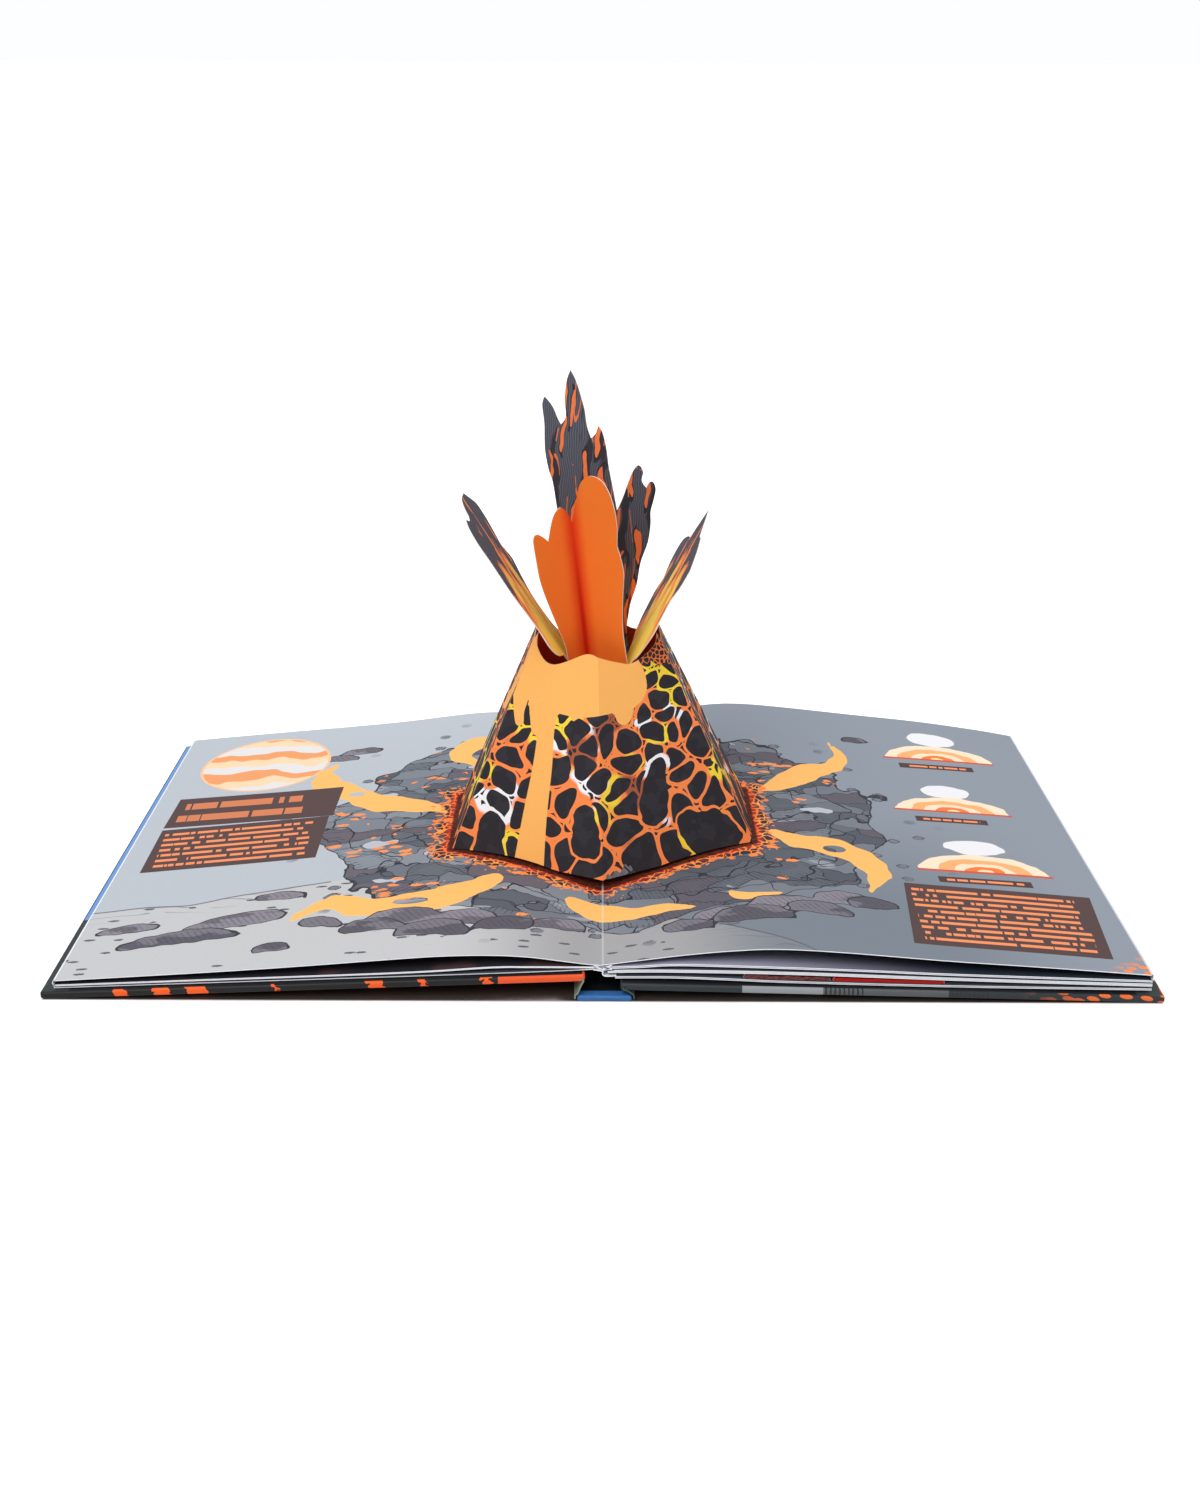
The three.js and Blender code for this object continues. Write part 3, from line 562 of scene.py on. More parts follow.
def spread_print():
    """The open spread: grey ground, rocky shelves round the cone with dark outlines and hatching, lava
    streams, an orange net round the cone's foot, text panels with plain bars, an inset and diagrams."""
    x, y, _ = millimetres().parts()
    flat = vector(x, y)
    fields = {name: drawn(name) for name in ("stream", "rock", "ring", "shore", "near_rock", "far_rock")}
    fine = noise(flat, 0.9, 2)
    broad = noise(flat, 0.02, 2)
    rightward = x.ramp(-10, 40)

    # Ground: cool grey, warmer and a little paler at the front, with faint waves and dashes. The pale front
    # darkens towards the gutter, painted shade where the page slopes away from the light from the left, and
    # further onto the right page, partly print and partly painted shade. The right page's ground is darker
    # too, partly print and partly painted shade, and darker again towards its front beside the cone, partly
    # print and partly the cone's painted shadow.
    front = fields["shore"] < 0
    pale_right = x.ramp(25, 85).mix(rgb(162, 162, 164), rgb(126, 132, 140))
    pale = x.ramp(-75, -5).mix(rgb(194, 195, 197), pale_right)
    right_ground = (y.ramp(40, -110) * x.ramp(235, 150)).mix(rgb(142, 150, 161), rgb(121, 130, 140))
    ground = front.mix(rightward.mix(rgb(184, 191, 199), right_ground), pale)
    ground = (abs(fields["shore"]).ramp(0.9, 0.3) * (broad > 0.4) * 0.8).mix(ground, rgb(84, 88, 97))
    wave = (y * 0.5 + noise(flat * (0.3, 1, 1), 0.05, 2) * 14) % 3.1 - 1.55
    hatched = (abs(wave) < 0.15) * fields["shore"].ramp(-15, -4) * front * (broad > 0.47) * 0.7
    ground = hatched.mix(ground, rgb(112, 114, 122))
    dash = cells(flat * (0.35, 1.0, 1.0) + fine, 0.13, "F1") < 0.12
    ground = (dash * front * (broad < 0.5)).mix(ground, rgb(98, 101, 109))
    ground = (fine.ramp(0.6, 0.75) * 0.22).mix(ground, rgb(132, 136, 146))

    # Slabs: bent cells, long across the page, each in its own flat grey with a dark outline. Some are
    # hatched, and a wider dark line steps outwards over them.
    slab_place = flat * (0.42, 1.0, 1.0) + drift(flat, 0.045, 2, 50.0, 26)
    slab = cells(slab_place, 0.085, "F1", 1).parts()[0]
    joint = cells(slab_place, 0.085)
    grey = slab.ramp(0.1, 0.9).mix(rgb(88, 93, 103), rgb(137, 144, 154))
    grey = ((slab * 7.0) % 1.0 > 0.8).mix(grey, rgb(104, 98, 108))
    # Slabs are darker on the right page: partly print and partly painted shade, like the ground.
    grey = (rightward * 0.35).mix(grey, rgb(76, 80, 90))
    blot = noise(flat * (0.7, 1.3, 1.0), 0.05, 2)
    grey = (blot.ramp(0.66, 0.665) * 0.7).mix(grey, rgb(164, 170, 179))
    around = Wire.node("Math", {0: y, 1: x}, operation="ARCTAN2")
    hatch = (abs((around * 95 + fine) % 2.2 - 1.1) < 0.24) * ((slab * 5.0) % 1.0 > 0.62)
    grey = (hatch * joint.ramp(0.32, 0.18) * 0.7).mix(grey, rgb(60, 63, 72))
    grey = (joint < 0.022).mix(grey, rgb(52, 54, 62))
    step = (fields["rock"] + noise(flat, 0.03, 2) * 34) / 21
    grey = (step % 1.0 < 0.04).mix(grey, rgb(46, 48, 56))
    colour = (fields["rock"] < 0).mix(ground, grey)
    colour = (abs(fields["rock"]) < 0.55).mix(colour, rgb(56, 58, 66))

    # Pebbles past the rocks, and pale ones on them
    seeds = flat * (0.75, 1.0, 1.0) + fine * 3
    stones, chosen = picked_seeds(seeds, 0.105, 0)
    near = fields["rock"].ramp(30, 6) * (fields["rock"] > 0) * (chosen > 0.74)
    colour = outlined(colour, stones, 0.25, 0.18, rgb(74, 77, 86), rgb(122, 127, 137), near)
    seeds = flat * (0.5, 1.1, 1.0) + noise(flat, 0.1, 1) * 8
    pale, chosen = picked_seeds(seeds, 0.06, 1)
    picked = (chosen > 0.82) * (fields["rock"] < -6) * (fields["ring"] > 12)
    colour = outlined(colour, pale, 0.26, 0.235, rgb(72, 75, 84), rgb(186, 192, 200), picked)

    # Orange specks in clusters over the rocks, and streams
    dots = flat * (0.55, 1.2, 1.0) + fine * 3
    speck, pick = picked_seeds(dots, 0.19, 2)
    cluster = noise(flat + 60.0, 0.045, 1).ramp(0.52, 0.66) * 0.42
    thrown = (speck < 0.34) * (pick > 1.0 - cluster) * fields["rock"].ramp(6, -6)
    colour = thrown.mix(colour, rgb(255, 152, 84))
    colour = (fields["stream"] < 0).mix(colour, rgb(255, 190, 108))

    # Rocks with an outline, hatched on their lower part
    lines = abs((x * 0.8 + y * 0.5 + fine * 2) % 2.5 - 1.25) < 0.3
    for name, light, dark in (("far_rock", rgb(136, 132, 142), rgb(106, 103, 113)),
                              ("near_rock", rgb(120, 117, 127), rgb(90, 88, 98))):
        body = blot.ramp(0.48, 0.52).mix(dark, light)
        body = (lines * fields[name].ramp(-0.5, -4) * 0.5).mix(body, rgb(66, 64, 72))
        body = (fields[name] > -0.6).mix(body, rgb(58, 57, 65))
        colour = (fields[name] < 0).mix(colour, body)

    # The net round the cone's foot, which breaks into specks further out
    warped = flat + drift(flat, 0.16, 1, 33.0, 7)
    net = cells(warped, 0.25, "F2") - cells(warped, 0.25, "F1")
    reach = fields["ring"] + noise(flat, 0.06, 2) * 20 - 7 + y.ramp(-40, -70) * 1.5
    colour = reach.ramp(11.5, 10.5).mix(colour, rgb(52, 47, 52))
    veins = net < (0.27 + reach.ramp(-2, 14) * -0.15)
    warm = noise(flat, 0.05, 1).ramp(0.45, 0.6).mix(LAVA_BRIGHT, rgb(255, 172, 92))
    colour = (veins * reach.ramp(13, 12)).mix(colour, warm)
    drops = (cells(warped * (0.8, 1.2, 1.0), 0.24, "F1") < reach.ramp(19, 11) * 0.4) * (reach > 11)
    colour = drops.mix(colour, LAVA_BRIGHT)
    # Painted light at the cone's foot: a red glow, the painted reflection of the cone's red inside, and
    # right at the foot a dark red line of painted shade under the card's edge.
    colour = (fields["ring"].ramp(7, 2.5) * 0.45).mix(colour, rgb(255, 62, 12))
    colour = (fields["ring"].ramp(3.2, 1.8) * 0.92).mix(colour, rgb(44, 8, 3))

    # Text panels with plain bars for words
    for centre_x, centre_y, half_u, half_v, turn_by, rows, bar, fill in PANELS:
        u, v = turned(x, y, centre_x, centre_y, turn_by)
        panel = inside_box(u - v * 0.06, v, half_u, half_v)
        colour = panel.mix(colour, (fine * 0.25).mix(PANEL_BROWN, rgb(112, 94, 90)))
        text_half = half_v - BAR_MARGIN
        pitch = text_half * 2 / rows
        row = ((v + text_half) / pitch).floor()
        within = ((v + text_half) / pitch) % 1.0
        word = noise(vector(u * (0.5 / pitch + 0.14), row * 7.3, centre_x), 1.6, 0, 0)
        margin = noise(vector(row * 3.1, centre_y), 1.0, 0, 0) * 16
        bars = inside_box(u, v, half_u - BAR_MARGIN_AT_ENDS, text_half) * (abs(within - 0.5) < bar / 2)
        bars = bars * (word > 0.36)
        bars = bars * (u < (half_u - 2 - margin * (2.1 if rows == 2 else 0.7)))
        colour = (bars * fill).mix(colour, BAR_ORANGE)

    # Inset: a pale disc with plain layered bands
    ix, iy, radius = INSET
    from_centre = (flat - (ix, iy, 0)).length()
    bands = ((y - iy) / 9 + noise(flat, 0.05, 1) * 2.2).floor() % 3
    inset = (bands < 0.5).mix((bands < 1.5).mix(rgb(238, 160, 106), rgb(252, 214, 176)), rgb(226, 224, 224))
    colour = outlined(colour, from_centre, radius, radius - 1.4, rgb(253, 196, 150), inset)

    # Diagrams: half a disc with nested bands on a red line, and a pale oval over it
    for cx, cy, size in DIAGRAMS:
        u, v = (x - cx) / size, (y - cy) / size
        uneven = noise(flat, 0.09, 1) * 0.22 - 0.11
        oval = vector(u * 2.1, (v - 0.42) * 3.6).length() + uneven * 2
        colour = outlined(colour, oval, 1.0, 0.94, rgb(150, 152, 160), rgb(236, 236, 239))
        dome = vector(u, (v + 0.42) * 1.75).length() + uneven
        for reach_out, tint in BANDS:
            colour = ((dome < reach_out) * (v > -0.42)).mix(colour, tint)
        colour = inside_box(u, v + 0.455, 1.02, 0.035).mix(colour, rgb(204, 92, 74))
    for cx, cy, half_u, half_v in CAPTIONS:
        colour = inside_box(x - cx, y - cy, half_u, half_v).mix(colour, PANEL_BROWN)
        word = noise(vector(x * 0.35, cy), 1.0, 0, 0)
        colour = (inside_box(x - cx, y - cy, half_u - 4, 1.1) * (word > 0.4)).mix(colour, BAR_ORANGE)

    # Orange flecks in the front right corner, and the gutter's crease
    corner = (x * 0.8 - y).ramp(318, 334) * (cells(flat * (0.8, 1.2, 1.0), 0.2, "F1") < 0.36)
    colour = corner.mix(colour, LAVA_BRIGHT)
    return (abs(x).ramp(0.6, 0.2) * 0.4).mix(colour, rgb(214, 216, 222))


spread_ink = surface("spread_print", spread_print, 0.82, grain=0.3, grain_size=0.8)


def both_faces(values):
    """A sheet's values for its upper points, and the same again for the points beneath."""
    return np.concatenate([values, values])


# One folded sheet: left second leaf, fore-edge fold, open spread, fore-edge fold, right second leaf
open_grid = carried(evenly(spread_line, GRID), PAGE_DEPTH, GRID)
open_grid[..., 2] += back_lift(open_grid[..., 0], open_grid[..., 1])
points, faces, kinds = sheet(open_grid, SHEET)
distances = spread_fields(open_grid[..., 0], open_grid[..., 1])
fields = {name: both_faces(values.ravel()) for name, values in distances.items()}
piece("open_spread", points, faces, kinds, [spread_ink, page_dark, paper_edge], "book_block", "page_block",
      fields=fields)


def leaf_piece(name, line, looks=(paper_edge,) * 3):
    """One sheet of the pages: a line carried from the front edge to the back edge."""
    points, faces, kinds = sheet(carried(line, PAGE_DEPTH, COARSE), SHEET)
    piece(name, points, faces, kinds, looks, "book_block", "page_block")


def leaf_sheets(sign, name, count, spacing, start=0.0, face=page_dark):
    """Sheets one under another, following a leaf's line from start outwards."""
    line = leaf_line(sign, name, 8)
    line = line[np.abs(line[:, 0]) >= start][::sign]
    for k in range(count):
        looks = [face if k == 0 else page_dark, page_dark, paper_edge]
        leaf_piece(f"{name}_leaf_{SIDE[sign]}_{k + 1}", line - (0, k * spacing), looks)


leaf_sheets(-1, "second", 2, 0.46, face=wedge_painted_shade)
leaf_sheets(-1, "third", 1, 0.46, start=3)
leaf_sheets(1, "second", 2, 0.62, face=paper_inside)
leaf_sheets(1, "third", 3, 0.54, start=2)
leaf_sheets(1, "fourth", 2, 0.62, start=3)


def fold_wall(sign):
    """The rounded end of a sheet folded at the fore-edge, from the spread down to the second leaf."""
    top = leaf_line(sign, "spread")[-1, 1] - SHEET / 2
    low = leaf_line(sign, "second")[-1, 1] - SHEET / 2
    radius = (top - low) / 2
    angle = np.linspace(-math.pi / 2, math.pi / 2, 13)[::sign]
    bulge = min(radius, FOLD_BULGE)
    x = sign * (PAGE_WIDTH - bulge + bulge * np.cos(angle))
    line = np.column_stack([x, (top + low) / 2 + radius * np.sin(angle)])
    leaf_piece(f"fore_edge_fold_{SIDE[sign]}", line)


fold_wall(-1)
fold_wall(1)

# The bundle of folds at the gutter, and the bottom fold, a loop of white paper
GUTTER_FOLDS, GUTTER_FOLD_STEP = 3, 0.95
GUTTER_LOOP = [(5, 14.2), (2, 14.3), (0.2, 13.6), (-0.4, 12.4), (0.4, 11.2), (2.4, 10.9), (6, 11.1)]
for k in range(GUTTER_FOLDS):
    middle = page_height(0) - SHEET - 0.35 - k * GUTTER_FOLD_STEP
    valley = [(-4, 0.9 - k * 0.2), (-1.4, 0.1), (0, -0.25), (1.4, 0.1), (4, 0.9)]
    leaf_piece(f"gutter_fold_{k + 1}", smooth(valley, 6) + (0, middle))
leaf_piece("gutter_loop", smooth(GUTTER_LOOP, 6)[::-1])


# Folded pop ups of other spreads, pressed flat between the right leaves: red and brown printed card
# with white folds.

PACKETS = [(62.5, 101.5), (102.5, 152.5)]
PACKET_DEPTH = PAGE_DEPTH - 2 * 0.5
PACKET_SEAT = 0.3
LAYERS, LAYER_STEP, LAYER_START = 3, 0.55, 0.45
WRAP_REACH, WRAP_MIDDLE, WRAP_HALF, WRAP_SHEET = 0.7, 0.8, 0.78, 0.2
brown_card = surface("brown_card", lambda: noise(millimetres() * (1, 1, 6), 0.3).ramp(0.42, 0.6).mix(
    rgb(96, 40, 38), rgb(138, 84, 78)), 0.8)
red_card = surface("red_card", lambda: rgb(186, 28, 20), 0.7)
for number, (start, end) in enumerate(PACKETS, 1):
    base = leaf_line(1, "fourth", 20)
    x = np.linspace(start, end, 13)
    z = np.interp(x, base[:, 0], base[:, 1]) + PACKET_SEAT
    card = brown_card if number == 1 else red_card
    parts = []
    for layer in range(LAYERS):
        line = np.column_stack([x, z + LAYER_START + layer * LAYER_STEP])
        parts.append((f"folded_card_{number}_{layer + 1}", line, SHEET, card))
    for end_x, end_z, sign in ((start, z[0], -1), (end, z[-1], 1)):
        angle = np.linspace(math.pi / 2, -math.pi / 2, 9)
        wrap = [end_x - sign * WRAP_REACH * (1 - np.cos(angle)),
                end_z + WRAP_MIDDLE + WRAP_HALF * np.sin(angle)]
        name = f"folded_end_{number}_{'in' if sign < 0 else 'out'}"
        parts.append((name, np.column_stack(wrap)[::sign], WRAP_SHEET, paper_edge))
    for name, line, thickness, look in parts:
        points, faces, kinds = sheet(carried(line, PACKET_DEPTH, COARSE), thickness)
        piece(name, points, faces, kinds, [look] * 3, "book_block", f"folded_popup_{number}")


# The cone: one card folded into six faces, black lava cells with glowing veins, an orange flow that
# drips from the crater's rim, white edges and a red inside.

GUTTER_HEIGHT = float(page_height(0))
CONE_LIFT = 4.5
CRATER = {"half_width": 29.1, "side_half_depth": 12.9, "reach": 26.6, "shift": -3, "height": 111.9}
FRONT_RIM_LEFT = [[0, 7.3], [0.19, 6.8], [0.64, 13.7], [0.91, 7.4], [1, 0]]
FRONT_RIM_RIGHT = [[0, 7.3], [0.28, 10.8], [0.51, 12], [0.87, 5.7], [1, 0]]
BACK_RIM = [[0, 8], [0.42, 7.6], [0.55, 8.7], [0.89, 8.6], [1, 0]]
SIDE_RIM = [[0, 0], [0.25, 5], [0.75, 5], [1, 0]]
CARD = 0.45
SEAT = 0.3
FOOT_GAP = 1.5   # between the front faces' foot and the page
FACE_BOW = 0.35


def hexagon(half_width, side_half_depth, reach, shift, left_z, right_z, gutter_z):
    """Six corners round the cone from the front gutter corner, by way of the left."""
    return np.array([
        (shift, -reach, gutter_z), (shift - half_width, -side_half_depth, left_z),
        (shift - half_width, side_half_depth, left_z), (shift, reach, gutter_z),
        (shift + half_width, side_half_depth, right_z), (shift + half_width, -side_half_depth, right_z),
    ], float)


def unroll(lows, highs):
    """Places of the twelve corners on the flat sheet. Each face is laid beside the one before it: its far
    corners are measured along and across the shared crease."""
    order = {}
    for step in (1, -1):
        low_here, high_here = np.zeros(2), np.array([0, np.linalg.norm(highs[0] - lows[0])])
        places = [(low_here, high_here)]
        for k in range(3):
            i, j = (k * step) % 6, ((k + 1) * step) % 6
            crease = highs[i] - lows[i]
            crease /= np.linalg.norm(crease)
            up = (high_here - low_here) / np.linalg.norm(high_here - low_here)
            side = np.array([-up[1], up[0]]) * step
            moved = []
            for corner in (lows[j], highs[j]):
                along = np.dot(corner - lows[i], crease)
                away = np.linalg.norm(corner - lows[i] - along * crease)
                moved.append(low_here + up * along + side * away)
            low_here, high_here = moved
            places.append((low_here, high_here))
        order[step] = places
    return order


foot = hexagon(CONE_HALF_WIDTH, CONE_SIDE_HALF_DEPTH, CONE_REACH, 0,
               page_height(-CONE_HALF_WIDTH), page_height(CONE_HALF_WIDTH), GUTTER_HEIGHT + CONE_LIFT)
top_z = GUTTER_HEIGHT + CRATER["height"]
crater = hexagon(CRATER["half_width"], CRATER["side_half_depth"], CRATER["reach"], CRATER["shift"],
                 top_z, top_z, top_z)
laid = unroll(foot, crater)


def reversed_rim(rim):
    """A face's rim (share along it, drop below the crater's top) from its other end."""
    return [[1 - share, drop] for share, drop in rim][::-1]


rims = [FRONT_RIM_LEFT, SIDE_RIM, reversed_rim(BACK_RIM), BACK_RIM, SIDE_RIM, reversed_rim(FRONT_RIM_RIGHT)]
CONE_ROWS = 46
columns, flats = [], []
for face, rim in enumerate(rims):
    flats_here = laid[1][face:face + 2] if face < 3 else (laid[-1][6 - face], laid[-1][5 - face])
    flat_a, flat_b = flats_here
    low_a, low_b = foot[face], foot[(face + 1) % 6]
    high_a, high_b = crater[face], crater[(face + 1) % 6]
    shares, drops = smooth(rim, 9).T
    last = len(shares) if face == 2 else len(shares) - 1
    for share, drop in zip(shares[:last], drops[:last]):
        low, high = low_a + (low_b - low_a) * share, high_a + (high_b - high_a) * share
        flat_low = flat_a[0] + (flat_b[0] - flat_a[0]) * share
        flat_high = flat_a[1] + (flat_b[1] - flat_a[1]) * share
        top = 1 - drop / (high[2] - low[2])
        clear = SEAT + (FOOT_GAP * math.sin(math.pi * share) if face in (0, 5) else 0)
        start = max(0.0, (page_height(low[0]) + clear - low[2]) / (high[2] - low[2]))
        t = np.linspace(start, top, CONE_ROWS)[:, None]
        bow = FACE_BOW * np.sin(math.pi * share) * np.sin(math.pi * t)
        inward = np.zeros((CONE_ROWS, 3))
        inward[:, 0], inward[:, 1] = CRATER["shift"] * t[:, 0] - low[0], -low[1]
        inward /= np.linalg.norm(inward, axis=1, keepdims=True)
        columns.append(low + (high - low) * t + inward * bow)
        flats.append(flat_low + (flat_high - flat_low) * t)
cone_grid = np.array(columns)[::-1].transpose(1, 0, 2)
cone_flat = np.array(flats)[::-1].transpose(1, 0, 2)

# The faces' slopes meet near one point on the flat sheet. Cells shrink evenly towards it.
APEX = (2.0, 186.0)
CELL_COUNT = 4.6
radial = cone_flat - APEX
round_by = np.arctan2(radial[..., 0], -radial[..., 1])
down_by = np.log(np.linalg.norm(radial, axis=-1) / 100)
round_and_down = np.stack([round_by, down_by], -1) * CELL_COUNT

# The flow: a cap under the rim and drips, given as places on the flat sheet (across, up, half width)
CAP = [
    [(-34, 110, 16), (-22, 100, 17), (-10, 97, 18), (2, 99, 19), (11, 97, 14), (15, 94, 11)],
    [(-24, 96, 8), (-28, 78, 4.6), (-31, 56, 5.2), (-36, 30, 6.6), (-40, 4, 8.4), (-42, -14, 9)],
    [(-40, 98, 6), (-43, 84, 3), (-43, 78, 2.4)],
    [(-33, 92, 5), (-35, 79, 2.2), (-35, 72, 1.6)],
    [(-14, 92, 7), (-13, 82, 3.0), (-13, 79, 2.0)],
    [(12, 88, 8), (13, 82, 5.2), (13, 79, 4.2)],
    [(-58, 102, 9), (-66, 96, 7), (-76, 96, 5)],
]
flow = np.min([stroke_distance(cone_flat[..., 0], cone_flat[..., 1], s) for s in CAP], axis=0)

# Giant cells: places on the flat sheet (across, up, half width)
CELL_SCALE = 2.3
GIANTS = [
    [(-62, 8, 10), (-60, 26, 7)],
    [(28, 34, 8), (31, 52, 6)],
    [(62, 18, 13), (50, 24, 9)],
    [(-8, 18, 8), (-10, 30, 6)],
    [(100, 30, 10), (104, 50, 8)],
    [(-104, 24, 9), (-102, 44, 8)],
]
giant = np.min([stroke_distance(cone_flat[..., 0], cone_flat[..., 1], s) for s in GIANTS], axis=0)


def on_sheet(layer="sheet"):
    """The place on the card laid flat, in millimetres, or in another of the mesh's layers of places."""
    return Wire.node("UVMap", uv_map=layer)


def lava_cells(where, scale):
    """How near a line between cells is: 0 deep inside a cell, rising to its outline. It is the nearest
    seed's distance less the same distance with soft steps between seeds, which rounds the cells."""
    seeds = {"Vector": where, "Scale": scale, "Smoothness": 1.0}
    soft = Wire.node("TexVoronoi", seeds, feature="SMOOTH_F1", voronoi_dimensions="2D")
    return cells(where, scale, "F1") - soft


def cone_print():
    """Black lava cells on a glowing ground, with pebbles where three cells meet, and a few giant cells.
    The colour and width of the veins change slowly over the card."""
    where, flat = on_sheet("cells"), on_sheet()
    u, v, _ = flat.parts()
    giant = drawn("giant") + noise(flat, 0.09, 1) * 9 - 4.5
    bent = where + drift(where, 1.3, 2, 5.0, 0.42)
    edge = lava_cells(bent, CELL_SCALE)
    vein_edge = 0.085 - noise(where, 1.6, 1).ramp(0.35, 0.7) * 0.04
    pebble = (lava_cells(bent + 3.0, CELL_SCALE * 3.0) < 0.05) * (edge > 0.148)
    inside = ((edge < vein_edge) * (giant > 1.6)).most(pebble).most(giant < 0.0)
    black = (noise(flat, 0.12, 3).ramp(0.5, 0.56) * 0.4).mix(rgb(36, 33, 39), rgb(54, 52, 58))
    vein = noise(where, 0.9, 2).ramp(0.53, 0.58).mix(rgb(255, 140, 74), rgb(252, 216, 60))
    vein = noise(where + 9.0, 1.5, 1).ramp(0.62, 0.66).mix(vein, rgb(246, 246, 250))
    vein = noise(where + 3.0, 0.8, 1).ramp(0.38, 0.34).mix(vein, rgb(170, 88, 58))
    colour = inside.mix(vein, black)

    # A fine net beside the rim at the right, and small grey stones low down
    rim_side = (u > 21) * (v > 101 + noise(vector(u), 0.2, 1) * 8) * (u < 42)
    tiny = lava_cells(flat, 0.42) < 0.05
    colour = rim_side.mix(colour, tiny.mix(rgb(250, 130, 66), rgb(52, 44, 50)))
    low = 10 + noise(vector(u), 0.12, 2) * 30 - 20 + (u - 40).ramp(0, 30) * 6 - v * 1.2 + abs(u) * -0.05
    low = low * (u > 2) * (u < 72)
    stone = cells(flat * (0.7, 1.2, 1.0), 0.14)
    grey = noise(flat * (3.0, 1.0, 1.0), 0.14, 1).mix(rgb(70, 70, 78), rgb(136, 138, 146))
    grey = (stone < 0.05).mix(grey, rgb(40, 38, 44))
    colour = (low > 0).mix(colour, grey)
    lava = noise(flat, 1.1, 3).mix(rgb(255, 176, 88), rgb(255, 192, 108))
    return (drawn("flow") < 0.0).mix(colour, lava)


cone_ink = surface("cone_print", cone_print, 0.7, grain=0.25, grain_size=0.7)
cone_inside = surface("cone_inside", lambda: rgb(255, 84, 38), 0.8)
card_edge = surface("card_edge", lambda: rgb(240, 232, 226), 0.85)
points, faces, kinds = sheet(cone_grid, CARD, closed=True)
layers = {"sheet": cone_flat, "cells": round_and_down}
layers = {name: both_faces(places.reshape(-1, 2)) for name, places in layers.items()}
fields = {"flow": both_faces(flow.ravel()), "giant": both_faces(giant.ravel())}
piece("cone_card", points, faces, kinds, [cone_ink, cone_inside, card_edge], "book_block", "volcano_cone",
      sharp=24, uv=layers, fields=fields)


# The plumes: two cards folded into Vs, back to back on the gutter. The front one is plain orange, the
# back one slate with orange flames.

# Each half's outline across the fold and up, as smooth runs from tip to tip. A run after the first goes
# on from the last one's end. The fold leans from its foot (x and y) to its top (x and height).
FRONT_PLUME = {
    "left": [
        [[0, 164], [2.6, 169.4], [6.5, 172.2], [11.5, 168], [15.9, 157.2]],
        [[19, 160], [22.5, 161.6], [24.7, 159], [24.4, 149], [23.6, 139], [21, 128.4], [16.2, 113.4],
         [13.2, 104], [12.5, 94]],
    ],
    "right": [
        [[0, 164], [3.7, 173.5], [7.2, 182.3], [11.2, 187.2], [16.5, 189.2], [22.2, 187.6], [26, 182.6],
         [28.2, 175], [28.6, 166], [27.3, 157]],
        [[29, 150.8], [29.7, 143.6], [27.8, 133.2], [25.6, 119.2], [25.2, 110.3], [26, 94]],
    ],
    "foot": (3, -1.2), "top": (-15.5, 164), "angle": 40, "towards": -1,
}
BACK_PLUME = {
    "left": [
        [[0, 169.4], [3.1, 180.3], [6, 190.2], [7.8, 198.7], [10.4, 206.1], [13, 209.1]],
        [[14.3, 205.2], [17, 202.6]],
        [[19.7, 208.3], [21.5, 215.9], [24.4, 223.2], [27.4, 229.6], [30.6, 233.8]],
        [[32.7, 228], [33.3, 219], [32.3, 211.3], [35.1, 207]],
        [[37.2, 209.7], [40.6, 215.2], [45.5, 219.5]],
        [[46.8, 215.4], [45.2, 206.3], [44.4, 194], [41.8, 184.1], [38.9, 177.8], [35.9, 165.3]],
        [[33, 148], [29, 128], [26, 110], [24, 94]],
    ],
    "right": [
        [[0, 169.4], [3.2, 175.8], [5.8, 182.4], [8.8, 188.4], [11.8, 190.2], [14.4, 186.7],
         [13.9, 182.3], [16.9, 178.4]],
        [[18.7, 180.9], [21, 180.6], [22.7, 176.7], [21.6, 171], [20.3, 166], [20.7, 159.4],
         [19.5, 150.4], [15.8, 141], [14.1, 130.3], [10.7, 120], [9, 108]],
        [[10.4, 100], [14, 94]],
    ],
    "foot": (0, 1.2), "top": (6.3, 169.4), "angle": 35, "towards": 1,
}
STEM_WIDTH, STEM_FOOT = 24, 5.2
STEM_CUT = (5, -4)  # how far the foot's corners and its fold lie from STEM_FOOT
CARD_STEP = 4
FOLD_FOOT, FOLD_TOP, FOLD_POINTS = 2.5, 163, 30
WING_BOW, WING_BOW_FULL, WING_WAVE = 0.4, 200, 9


def lobes(runs):
    """Smooth runs that meet at sharp tips."""
    lines = [smooth(runs[0], 5)]
    for before, run in zip(runs, runs[1:]):
        lines.append(smooth([before[-1], *run], 5)[1:])
    return np.concatenate(lines)


